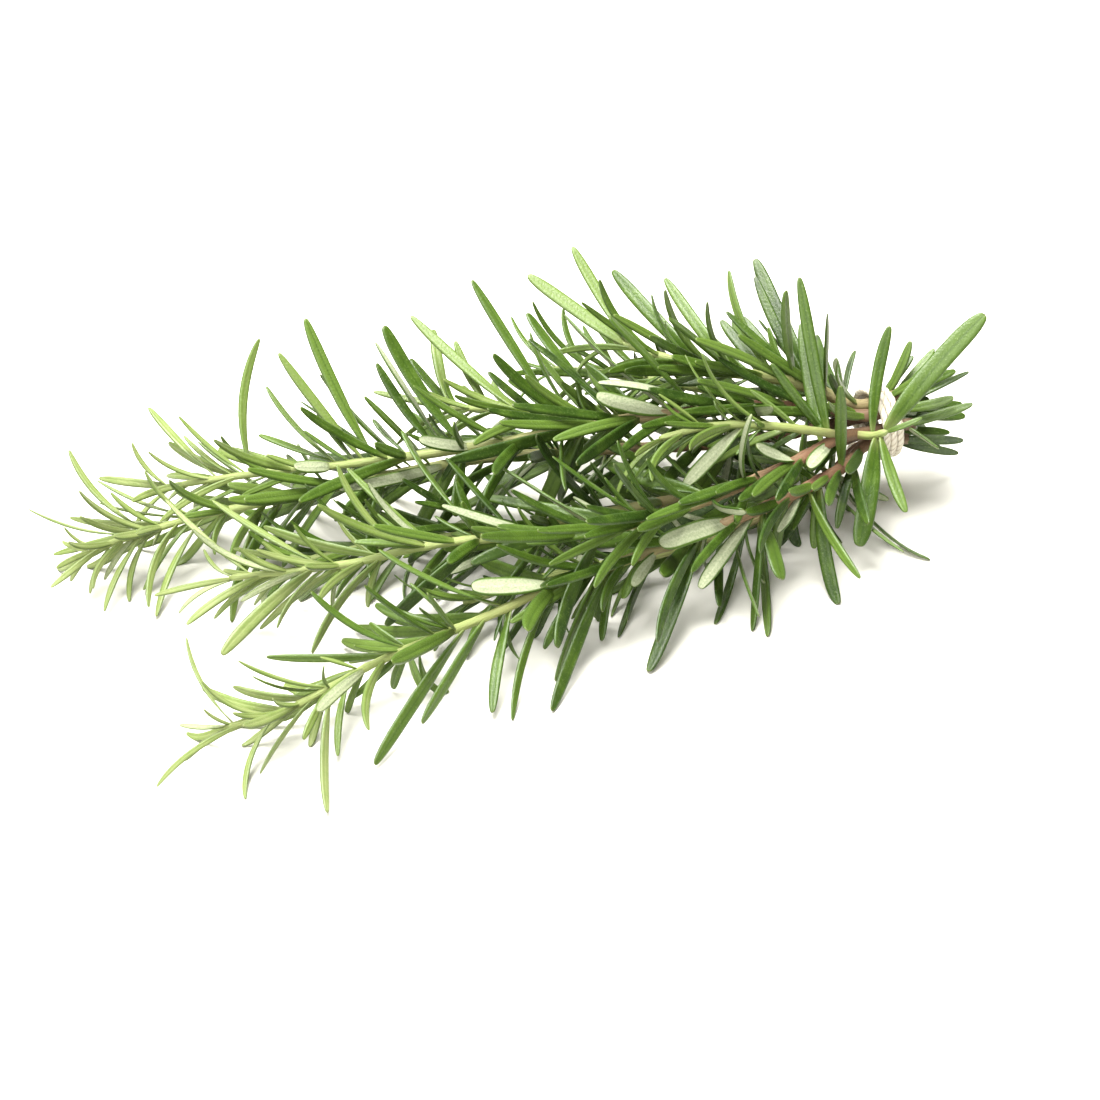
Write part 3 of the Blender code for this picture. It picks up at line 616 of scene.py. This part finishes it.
# Where the light comes from, and the viewer of the photo, as directions from the bunch
LIGHT = np.array([0.0, -0.5, 0.87])
TO_VIEWER = np.array([-0.296, -0.764, 0.574])


def leaf_line(root, along, out, length, opening, bend, sway):
    """Leaf middles that leave the root at their opening and turn evenly by their bend, and the side that
    they face."""
    angle = opening[:, None] + bend[:, None] * STATIONS
    aside = np.cross(along, out)
    way = np.cos(angle)[..., None] * along[:, None] + np.sin(angle)[..., None] * out[:, None]
    way = unit(way + np.tan(sway[:, None] * STATIONS)[..., None] * aside[:, None])
    step = (way[:, 1:] + way[:, :-1]) / 2 * (length / STEPS)[:, None, None]
    line = np.concatenate([np.zeros_like(way[:, :1]), np.cumsum(step, 1)], 1) + root[:, None]
    face = np.sin(angle)[..., None] * along[:, None] - np.cos(angle)[..., None] * out[:, None]
    return line, face


def laid_on_floor(line):
    """Bends up what would pass below the surface, so that it lies along it."""
    z = line[..., 2] - FLOOR_CLEAR
    line = line.copy()
    line[..., 2] = FLOOR_CLEAR + (z + np.sqrt(z * z + FLOOR_SOFT**2)) / 2 - FLOOR_SINK
    return line


# A leaf turns about its own line by this much at most, in radians, and fully past this share of its length
MOST_TURN = 0.95
TURNED_BY = 0.45


def turned_to_light(line, face, share, side):
    """Blade directions and faces, each turned about its own line to show one broad side to the light: its
    upper side, or where side is -1 its underside."""
    way = unit(np.gradient(line, axis=-2))
    face = unit(face - (face * way).sum(-1, keepdims=True) * way)
    edge = np.cross(way, face)
    a = face @ unit(LIGHT)
    b = edge @ unit(LIGHT)
    sign = np.sign(a.mean(-1, keepdims=True))
    turn = np.clip(np.arctan2(sign * b, sign * a), -MOST_TURN, MOST_TURN) * share[..., None]
    turn = turn * np.clip(STATIONS / TURNED_BY, 0, 1)
    shown = np.cos(turn)[..., None] * face + np.sin(turn)[..., None] * edge
    return way, side * sign[..., None] * shown


# Outline of a blade: width of its foot, where along it is full, and the power of its tip's curve
FOOT_WIDTH = 0.42
FULL_BY = 0.28
TIP_CURVE = 2.1


def blade_width(s, width):
    """Share of the full width: a narrow foot, nearly even edges and a blunt tip, longer on narrow ones."""
    foot = FOOT_WIDTH + 0.58 * np.clip(s / FULL_BY, 0, 1) ** 0.8
    start = np.clip(0.46 + 0.08 * width, 0.58, 0.78)
    tip = np.sqrt(np.clip(1 - np.clip((s - start) / (1 - start), 0, 1) ** TIP_CURVE, 0, 1))
    return foot * tip


RAIL_SHARE = 0.34


def rails(line, way, face, width):
    """Left, middle and right line of each blade, each with a point more between every two."""
    off = np.cross(way, face) * (RAIL_SHARE * width * blade_width(STATIONS, width))[:, None]
    three = np.stack([line - off, line, line + off], -3)
    out = np.empty(three.shape[:-2] + (2 * STEPS + 1, 3))
    out[..., 0::2, :] = three
    out[..., 1::2, :] = (three[..., 1:, :] + three[..., :-1, :]) / 2
    return out


# Rail points by the foot, within the own sprig, and the gap that is told where nothing is near
FOOT_POINTS = 7
FAR = 9.0
NEAR = 3


class Crowd:
    """What is in place already, as round-ended rods with an owner."""

    def __init__(self):
        self.a = np.zeros((0, 3))
        self.b = np.zeros((0, 3))
        self.r = np.zeros(0)
        self.owner = np.zeros(0, int)

    def add(self, line, radius, owner):
        self.a = np.concatenate([self.a, line[:-1]])
        self.b = np.concatenate([self.b, line[1:]])
        self.r = np.concatenate([self.r, np.broadcast_to(radius, len(line) - 1)])
        self.owner = np.concatenate([self.owner, np.full(len(line) - 1, owner)])

    def gaps(self, blades, owner):
        """For each blade the smallest gap to other owners, and beyond its foot to its own sprig."""
        points = blades.reshape(len(blades), -1, 3)
        low = points.min((0, 1)) - NEAR
        high = points.max((0, 1)) + NEAR
        near = ((np.minimum(self.a, self.b) < high) & (np.maximum(self.a, self.b) > low)).all(1)
        found = []
        for own in (False, True):
            pick = near & ((self.owner == owner) == own)
            if not pick.any():
                found.append(np.full(len(blades), FAR))
                continue
            a = self.a[pick]
            ab = self.b[pick] - a
            ap = points[:, :, None] - a
            t = np.clip((ap * ab).sum(-1) / ((ab * ab).sum(-1) + 1e-9), 0, 1)
            gap = np.linalg.norm(ap - t[..., None] * ab, axis=-1) - self.r[pick] - HALF_THICK
            gap = gap.min(2).reshape(len(blades), 3, -1)
            found.append(gap[:, :, FOOT_POINTS if own else 0:].min((1, 2)))
        return found


# A pair's leaves at the tip of a stem, and what they gain by where they are full grown, this far from the
# tip: length, width, opening from the stem and bend
GROWN_BY = 55
PAIR_LENGTH = (15, 13)
PAIR_WIDTH = (1.5, 1.7)
PAIR_OPENING = (9, 39)
PAIR_BEND = (54, -42)
# Half of the stretch without leaves at the tie
BARE_TIE = 4.5


def pair_rule(stem, rng, small):
    """Leaves that the stem carries by rule: crossed pairs, closer and younger to the tip, and past the tie
    turned back over the cut. The second set are the smaller leaves beside them. Rows are like those of the
    leaves that stand out."""
    rows = []
    back = INTERNODES[0]
    k = 0
    while stem.length - back > (3 if stem.main else 4):
        run = stem.length - back
        x = stem.at(run, stem.line)[0]
        grown = np.clip(back / GROWN_BY, 0, 1)
        near_tie = np.clip(1 - (run - WOODY) / 30, 0, 1) if stem.main else 0.0
        lean = 28 if k % 2 else -28
        sides = [lean, 180 - lean] if small else [0, 180]
        for side in sides:
            u = rng.uniform(-1, 1, 6)
            share = 0.55 + 0.15 * u[5] if small else 1.0
            length = (PAIR_LENGTH[0] + PAIR_LENGTH[1] * grown**0.8) * (1 + 0.16 * u[1]) * share
            width = (PAIR_WIDTH[0] + PAIR_WIDTH[1] * grown) * (1 + 0.2 * u[2]) * (0.8 if small else 1.0)
            opening = PAIR_OPENING[0] + PAIR_OPENING[1] * grown + 20 * near_tie + 10 * u[3]
            opening += 8 if small else 0
            bend = PAIR_BEND[0] + PAIR_BEND[1] * grown + 14 * u[4]
            if abs(x - TIE[0]) < BARE_TIE:
                continue
            if x > TIE[0]:
                opening = 130 + 15 * u[3]
                bend = 10 * u[4]
                length = 0.6 * length
            roll = (stem.phase + 90 * k + side + 14 * u[0] + 180) % 360 - 180
            rows.append((run, roll, opening, bend, length, width))
        back += INTERNODES[min(k + 1, len(INTERNODES) - 1)]
        k += 1
    return rows


# Leaves over the stem start this far from its cut end and lie on this side of it
COVER_START = 11.0
COVER_ROLL = -52


def cover_rule(stem, rng, step, fan):
    """Leaves that lie along the upper front of a stem and hide it. Rows are like the others."""
    rows = []
    for run in np.arange(COVER_START, stem.covered, step):
        u = rng.uniform(-1, 1, 6)
        rows.append((run + u[0], COVER_ROLL + fan * u[1], 24 + 11 * u[2], 8 + 16 * u[3],
                     24 + 6 * u[4], 2.4 + 0.4 * u[5]))
    return rows


# Share of two leaves' widths within which one passes before the other
HIDE_REACH = 0.42


def share_hidden(lines, width, pales):
    """For each line of a leaf the largest share of a noted underside that it passes before, for the viewer.
    There points of both lie closer to each other across the view than most of the half widths together."""
    points = np.stack([pale["line"][2:] for pale in pales])
    reach = HIDE_REACH * (width + np.array([pale["width"] for pale in pales]))
    apart = lines[:, :, None, None] - points
    before = apart @ TO_VIEWER
    aside = np.linalg.norm(apart - before[..., None] * TO_VIEWER, axis=-1)
    over = (aside < reach[:, None]) & (before > 0)
    return over.any(1).mean(-1).max(-1)


# What the last try may differ by: roll, opening, bend and sway in degrees, and share of the length
TRY_ROLL = 60
TRY_OPENING = 25
TRY_BEND = 35
TRY_SWAY = 30
LEAST_SWAY = 4
TRY_SHORTER = 0.4
# Leaves by rule with a draw over this show their underside, fewer of them on the sprigs at the back
PALE_DRAW = 0.86
PALE_DRAW_BACK = 0.97
# Share of a noted underside that a further leaf may hide, and one that the solids have too
MAY_HIDE = 0.2
MAY_STAY = 0.3
# A leaf is rooted at this share of the stem's radius
ROOT_DEPTH = 0.35


def place_leaf(stem, row, rng, crowd, noted, pales=()):
    """First of some tries, each looser than the one before, that clears the other sprigs and the surface,
    and leaves the given pale undersides in sight."""
    run, roll, opening, bend, length, width = row[:6]
    u = rng.uniform(-1, 1, (TRIES, 6))
    draw = PALE_DRAW_BACK if "back" in stem.name else PALE_DRAW
    shows_below = len(row) > 6 if noted else u[0, 0] > draw
    loose = np.linspace(0, 1, TRIES)
    roll = np.radians(roll + TRY_ROLL * loose * u[:, 0])
    opening = np.radians(opening + TRY_OPENING * loose * u[:, 1])
    bend = np.radians(bend + TRY_BEND * loose * u[:, 2])
    sway = np.radians((LEAST_SWAY + TRY_SWAY * loose) * u[:, 3])
    length = length * (1 - TRY_SHORTER * loose * np.abs(u[:, 4]))
    share = np.full(TRIES, 1.0) if noted else 0.6 + 0.3 * u[:, 5]
    along = unit(stem.at(run, stem.along))
    up = unit(stem.at(run, stem.up))
    radius = np.interp(run, stem.run, stem.radius)
    out = np.cos(roll)[:, None] * up + np.sin(roll)[:, None] * np.cross(along, up)
    root = stem.at(run, stem.line) + ROOT_DEPTH * radius * out
    line, face = leaf_line(root, np.broadcast_to(along, out.shape), out, length, opening, bend, sway)
    dip = line[..., 2].min(1)
    line = laid_on_floor(line)
    way, face = turned_to_light(line, face, share, -1 if shows_below else 1)
    blades = rails(line, way, face, width)
    clear = share_hidden(line, width, pales) < MAY_HIDE if len(pales) else np.ones(TRIES, bool)
    start = len(crowd.r)
    for lot in (slice(0, FIRST_TRIES), slice(FIRST_TRIES, TRIES)):
        other, own = crowd.gaps(blades[lot], stem.node)
        fits = (other > GAP) & (dip[lot] > DEEPEST) & clear[lot]
        best = fits & (own > OWN_GAP)
        if best.any() or (noted and lot.stop == TRIES and fits.any()):
            k = lot.start + int(np.argmax(best if best.any() else fits))
            for rail in blades[k]:
                crowd.add(rail[::4], HALF_THICK, stem.node)
            return dict(line=line[k], way=way[k], face=face[k], width=width, length=length[k],
                        node=stem.node, grown=(stem.length - run) / GROWN_BY, stem=stem, noted=noted,
                        pale=noted and shows_below, rods=slice(start, len(crowd.r)))
    return None


# A leaf by rule is left out within this distance and roll of one that stands out
TAKEN_RUN = 5
TAKEN_ROLL = 50


def all_leaves(stems):
    """The leaves that the solids have too: those that stand out, those that lie over the stems, the pairs,
    and the smaller ones beside every other pair. Gives them with the crowd in place."""
    rng = np.random.default_rng(1)
    nodes = list(SPRIGS)
    crowd = Crowd()
    for stem in stems:
        stem.node = nodes.index(stem.node)
        rods = stem.line[::3]
        crowd.add(rods, stem.radius[:-1:3][:len(rods) - 1], stem.node)
        crowd.add(stem.line[-4:], stem.radius[-4:-1], stem.node)
    coil, first, last, knot, tails = twine_lines()
    for line in [coil, first, last] + tails:
        crowd.add(line, TWINE / 2, len(nodes))
    crowd.add(np.stack([knot, knot + 0.1]), KNOT_RADIUS, len(nodes))
    leaves = []
    for stem in stems:
        for row in stem.noted:
            leaves.append(place_leaf(stem, row, rng, crowd, True))
    for stem in stems:
        for row in cover_rule(stem, rng, 5.0, 32):
            leaves.append(place_leaf(stem, row, rng, crowd, False))
    orders = []
    for small in (False, True):
        lot = []
        for stem in stems:
            for k, row in enumerate(pair_rule(stem, rng, small)):
                taken = [n for n in stem.noted if abs(n[0] - row[0]) < TAKEN_RUN
                         and abs((n[1] - row[1] + 180) % 360 - 180) < TAKEN_ROLL]
                if taken and not small:
                    continue
                if small and k % 2:
                    continue
                lot.append((stem, row))
        orders += [lot[k] for k in rng.permutation(len(lot))]
    for stem, row in orders:
        leaves.append(place_leaf(stem, row, rng, crowd, False))
    return [leaf for leaf in leaves if leaf is not None], crowd


# Leaves turned back over a cut end, in each leaf axil and at each tip
END_LEAVES = 10
TUFT_LEAVES = 3
TIP_LEAVES = 4
# Further pairs stand this far past the noted ones, more of them on the sprigs below and behind
LIFTS = (4.0,)
LIFTS_BELOW = (3.0, 6.0, 9.0)
# Stretch at a tip, of a sprig and of a side shoot, that has its pairs alone
BARE_TIP = (13, 8)
# No leaf points at the viewer more than this (1 is straight), or comes closer to the top of the box
END_ON = 0.86
TOP_MARGIN = 0.8


def more_leaves(stems, crowd, pales):
    """Leaves that stand among the pairs: further crossed pairs between them, the small ones beside them,
    tufts in the leaf axils, a bud of the smallest at each tip, leaves over the stems and turned back over
    the cut ends. Those that find no room or leave the solids' box are left out."""
    rng = np.random.default_rng(2)
    long_ones, small_ones = [], []
    for stem in stems:
        long_ones += [(stem, row) for row in cover_rule(stem, rng, 2.6, 26)]
        for k in range(END_LEAVES if stem.main else 0):
            u = rng.uniform(-1, 1, 5)
            roll = 60 * u[0] - 30 if k % 2 else 137 * k + 20 * u[0]
            long_ones.append((stem, (1.0 + 0.4 * k, roll, 152 + 14 * u[1], 12 * u[2], 12 + 4 * u[3],
                                     2.3 + 0.3 * u[4])))
        bare = BARE_TIP[0] if stem.main else BARE_TIP[1]
        small_ones += [(stem, row) for row in pair_rule(stem, rng, True) if stem.length - row[0] > bare]
        below = "under" in stem.name or "far" in stem.name
        for run, roll, opening, bend, length, width in pair_rule(stem, rng, False):
            if stem.length - run < bare or stem.at(run, stem.line)[0] > TIE[0]:
                continue
            for lift in LIFTS_BELOW if below else LIFTS:
                u = rng.uniform(-1, 1, 5)
                long_ones.append((stem, (run + lift + u[0], roll + 12 * lift + 20 * u[1],
                                         opening + 8 * u[2], bend + 10 * u[3],
                                         length * (0.95 + 0.15 * u[4]), 0.8 * width)))
            for _ in range(TUFT_LEAVES):
                u = rng.uniform(-1, 1, 5)
                small_ones.append((stem, (run + 0.8, roll + 35 * u[0], 26 + 14 * u[1], 15 + 25 * u[2],
                                          11.5 + 4.5 * u[3], 1.6 + 0.4 * u[4])))
        for k in range(TIP_LEAVES):
            u = rng.uniform(-1, 1, 4)
            small_ones.append((stem, (stem.length - 0.8, 90 * k + 25 * u[0], 10 + 6 * u[1],
                                      36 + 22 * u[2], 9 + 3 * u[3], 1.4)))
    rows = [long_ones[k] for k in rng.permutation(len(long_ones))]
    rows += [small_ones[k] for k in rng.permutation(len(small_ones))]
    short_rng = np.random.default_rng(4)
    for stem in stems:
        for run, roll, opening, bend, length, width in cover_rule(stem, short_rng, 3.2, 40):
            rows.append((stem, (run, roll, opening + 8, bend, 0.58 * length, width)))
    found = [place_leaf(stem, row, rng, crowd, False, pales) for stem, row in rows]
    low, high = np.array(cad_box) / MM - TO_CENTRE
    kept = []
    for leaf in found:
        if leaf is not None:
            line = leaf["line"]
            end_on = unit(line[-1] - line[0]) @ TO_VIEWER > END_ON
            if not end_on and (line > low).all() and (line < high - TOP_MARGIN).all():
                kept.append(leaf)
    return kept


# Across a blade: place over half its width, height over half its thickness, and how much is underside
SECTION = np.array([
    (-1.0, -0.2, 0.0), (-0.62, 0.72, 0.0), (0.0, 0.16, 0.0), (0.62, 0.72, 0.0), (1.0, -0.2, 0.0),
    (0.84, -0.88, 0.25), (0.42, -0.42, 1.0), (0.0, -0.86, 0.8), (-0.42, -0.42, 1.0), (-0.84, -0.88, 0.25)])
# Rings of points along a blade, as shares of its length: the long ones, and those shorter than this
SHORT_BLADE = 13
LONG_STOPS = np.array([0.0, 0.10, 0.25, 0.42, 0.58, 0.73, 0.85, 0.94, 0.985])
SHORT_STOPS = np.array([0.0, 0.22, 0.50, 0.75, 0.92, 0.985])
# How light the leaves of each stem are at its tip, from 0 to 1; low on the sprigs underneath as painted
# shade
YOUTH_AND_SHADE = {"sprig_upper": 0.75, "sprig_far_left": 0.95, "sprig_middle": 1.0, "sprig_lowest": 1.0,
         "sprig_back_top": 0.15, "sprig_back_low": 0.25,
         "sprig_under_back": 0.1, "sprig_under_front": 0.1,
         "upper_shoot": 0.4, "middle_shoot": 0.35, "front_shoot": 0.0}
# Narrow blades are thinner, down to this share, and each waves a little in height along its length
LEAST_THICK = 0.45
BLADE_WAVE = 0.08


def blade_surfaces(leaves, shares, rng):
    """Blades as grids of (leaf, share along it, corner across it). A point = middle line + edge direction x
    half width x place across + face direction x half thickness x (height + wave). The foot and the blunt
    tip are closed."""
    at = shares * STEPS
    low = np.minimum(at.astype(int), STEPS - 1)
    part = (at - low)[:, None]

    def taken(name):
        rows = np.stack([leaf[name] for leaf in leaves])
        return rows[:, low] * (1 - part) + rows[:, low + 1] * part

    middle, way, face = taken("line"), unit(taken("way")), taken("face")
    face = unit(face - (face * way).sum(-1, keepdims=True) * way)
    edge = np.cross(way, face)
    width = np.array([leaf["width"] for leaf in leaves])[:, None]
    half = blade_width(shares, width) * width / 2
    thick = HALF_THICK * np.clip(half, LEAST_THICK, 1.0)
    wave = BLADE_WAVE * np.sin(shares * 8 + rng.uniform(0, 6, (len(leaves), 1)))
    skin = (middle[:, :, None] + edge[:, :, None] * (half[..., None] * SECTION[:, 0])[..., None]
            + face[:, :, None] * (thick[..., None] * (SECTION[:, 1] + wave[..., None]))[..., None])
    count, rings, sides = skin.shape[:3]
    k = np.arange(sides)
    t = (k + 1) % sides
    ring = sides * np.arange(rings - 1)[:, None]
    one = np.stack([ring + k, ring + t, ring + sides + t, ring + sides + k], -1).reshape(-1, 4)
    start = (np.arange(count) * rings * sides)[:, None, None]
    quads = (one + start).reshape(-1, 4).tolist()
    foot = (k[::-1] + start[:, 0]).tolist()
    tip = (k + (rings - 1) * sides + start[:, 0]).tolist()
    full = np.ones((count, rings, sides))
    # young also carries the painted shade given to the leaves of the sprigs underneath
    young = np.array([YOUTH_AND_SHADE[leaf["stem"].name] * (1 - np.clip(leaf["grown"], 0, 1)) for leaf in leaves])
    tone = rng.uniform(0, 1, (count, 1, 1))
    values = dict(along=full * shares[:, None], under=full * SECTION[:, 2], across=full * SECTION[:, 0],
                  young=full * young[:, None, None], tone=full * tone)
    values = {key: value.reshape(-1) for key, value in values.items()}
    return skin.reshape(-1, 3), quads + foot + tip, values


# Height of the pebbled skin and of the felt in metres
LEAF_RELIEF = 0.00015

leaf_material, tree, shader = new_material("rosemary_leaf", 0.38)
fine, broad = speckle(tree, 2200.0)
along = attribute(tree, "along")
under = attribute(tree, "under")
across = worked(tree, "ABSOLUTE", attribute(tree, "across"))
# From 0, the lightest leaf at a tip, to 1, the darkest old one; the sprigs underneath are dark as painted
# shade
old_and_shaded = worked(tree, "SUBTRACT", 0.62, attribute(tree, "young"))
age_and_shade = worked(tree, "MULTIPLY_ADD", attribute(tree, "tone"), 0.42, old_and_shaded)
top = ramp(tree, age_and_shade, [
    (0.0, (0.190, 0.232, 0.082)), (0.28, (0.150, 0.202, 0.052)), (0.60, (0.086, 0.144, 0.022)),
    (0.84, (0.034, 0.072, 0.004)), (1.0, (0.012, 0.032, 0.001))])
mottled = mixed(tree, eased(tree, broad, 0.38, 0.72, 0.0, 0.36), top, (0.085, 0.150, 0.016))
# Paler specks where the fine speckle, which also raises the bump, stands highest: painted highlight on the
# pebbles.
pebble_highlighted = mixed(tree, eased(tree, fine, 0.54, 0.74, 0.0, 0.24), mottled, (0.25, 0.34, 0.11))
# Down the middle the groove is drawn pale on young leaves and dark on old ones; the dark line is painted
# shade in the groove.
midline_and_groove_shade = mixed(tree, eased(tree, age_and_shade, 0.25, 0.6), (0.30, 0.34, 0.15), (0.018, 0.046, 0.003))
with_groove_shade = mixed(tree, eased(tree, across, 0.0, 0.20, 0.45, 0.0), pebble_highlighted, midline_and_groove_shade)
# Darker where the upper side curves down to the rolled edges: painted shade.
edge_shaded = mixed(tree, eased(tree, across, 0.62, 0.95, 0.0, 0.5), with_groove_shade, (0.026, 0.062, 0.004))
below = ramp(tree, age_and_shade, [
    (0.0, (0.28, 0.32, 0.17)), (0.5, (0.30, 0.335, 0.205)), (1.0, (0.30, 0.33, 0.215))])
ribbed = mixed(tree, eased(tree, across, 0.04, 0.16, 0.45, 0.0), below, (0.41, 0.44, 0.30))
felted = mixed(tree, eased(tree, fine, 0.42, 0.62, 0.0, 0.45), ribbed, (0.16, 0.20, 0.105))
sided = mixed(tree, eased(tree, under, 0.30, 0.62), edge_shaded, felted)
footed = mixed(tree, eased(tree, along, 0.0, 0.16, 0.50, 0.0), sided, (0.22, 0.26, 0.075))
tipped = mixed(tree, eased(tree, along, 0.965, 0.99, 0.0, 0.30), footed, (0.13, 0.14, 0.04))
tree.links.new(tipped, shader.inputs["Base Color"])
tree.links.new(eased(tree, under, 0.2, 0.7, 0.40, 0.85), shader.inputs["Roughness"])
shader.inputs["Specular IOR Level"].default_value = 0.42
height = worked(tree, "MULTIPLY", fine, eased(tree, under, 0.2, 0.7, 0.8, 1.2))
bumped(tree, shader, height, LEAF_RELIEF)

leaves, crowd = all_leaves(stems)
pales = [leaf for leaf in leaves if leaf["pale"]]
# A leaf by rule that would hide a noted underside is left out. Its rods get a radius that nothing touches.
GONE = -50.0
shown = []
for leaf in leaves:
    if leaf["noted"] or share_hidden(leaf["line"][None], leaf["width"], pales)[0] < MAY_STAY:
        shown.append(leaf)
    else:
        crowd.r[leaf["rods"]] = GONE
leaves = shown + more_leaves(stems, crowd, pales)
shape_rng = np.random.default_rng(3)
for number, name in enumerate(SPRIGS):
    own = [leaf for leaf in leaves if leaf["node"] == number]
    long_ones = [leaf for leaf in own if leaf["length"] >= SHORT_BLADE]
    short_ones = [leaf for leaf in own if leaf["length"] < SHORT_BLADE]
    blades = [blade_surfaces(long_ones, LONG_STOPS, shape_rng),
              blade_surfaces(short_ones, SHORT_STOPS, shape_rng)]
    piece = made_piece(name + "_leaves", blades, leaf_material)
    smooth = piece.modifiers.new("smooth", "SUBSURF")
    smooth.levels = 1
    smooth.render_levels = 1
    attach(piece, "root")
    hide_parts(name)


# Surface, light and camera
# The bunch lies on a plain white surface under wide soft light, seen from its front left, 35 degrees above.
floor_mesh = bpy.data.meshes.new("white_surface")
floor_mesh.from_pydata([(-3, -3, 0), (3, -3, 0), (3, 3, 0), (-3, 3, 0)], [], [(0, 1, 2, 3)])
floor = bpy.data.objects.new("white_surface", floor_mesh)
bpy.context.scene.collection.objects.link(floor)
paper, tree, shader = new_material("white_paper", 0.6)
shader.inputs["Base Color"].default_value = (0.66, 0.652, 0.612, 1.0)
shader.inputs["Specular IOR Level"].default_value = 0.2
floor_mesh.materials.append(paper)

world = bpy.data.worlds.new("white_room")
bpy.context.scene.world = world
world.use_nodes = True
world.node_tree.nodes["Background"].inputs["Color"].default_value = (1.0, 0.98, 0.92, 1.0)
world.node_tree.nodes["Background"].inputs["Strength"].default_value = 0.10


def looking(place, aim):
    """Placing of a lamp or a camera that looks from a place at an aim, with its upper edge up."""
    back = unit(np.array(place, float) - np.array(aim, float))
    right = unit(np.cross([0.0, 0.0, 1.0], back))
    turn = np.eye(4)
    turn[:3, :3] = np.stack([right, np.cross(back, right), back], 1)
    turn[:3, 3] = place
    return Matrix(turn.tolist())


def soft_light(name, place, size, power):
    """Square lamp of warm white light that shines on the bunch."""
    lamp = bpy.data.lights.new(name, "AREA")
    lamp.shape = "SQUARE"
    lamp.size = size
    lamp.energy = power
    lamp.color = (1.0, 0.985, 0.94)
    holder = bpy.data.objects.new(name, lamp)
    holder.matrix_world = looking(place, (0, 0, 0))
    bpy.context.scene.collection.objects.link(holder)


soft_light("top_light", (-0.10, 0.30, 1.1), 0.8, 62.0)
soft_light("front_light", (-0.7, -0.9, 0.9), 1.2, 24.0)

AZIMUTH, ELEVATION, DISTANCE = np.radians(-21.2), np.radians(35.0), 0.7
look_at = (np.array([3.5, 0.0, 4.0]) + TO_CENTRE) * MM
level = np.cos(ELEVATION)
to_camera = np.array([np.sin(AZIMUTH) * level, -np.cos(AZIMUTH) * level, np.sin(ELEVATION)])
lens = bpy.data.cameras.new("camera")
lens.sensor_width = 36.0
lens.lens = 114.55
camera = bpy.data.objects.new("camera", lens)
camera.matrix_world = looking(look_at + to_camera * DISTANCE, look_at)
bpy.context.scene.collection.objects.link(camera)
bpy.context.scene.camera = camera
bpy.context.scene.view_settings.view_transform = "Standard"
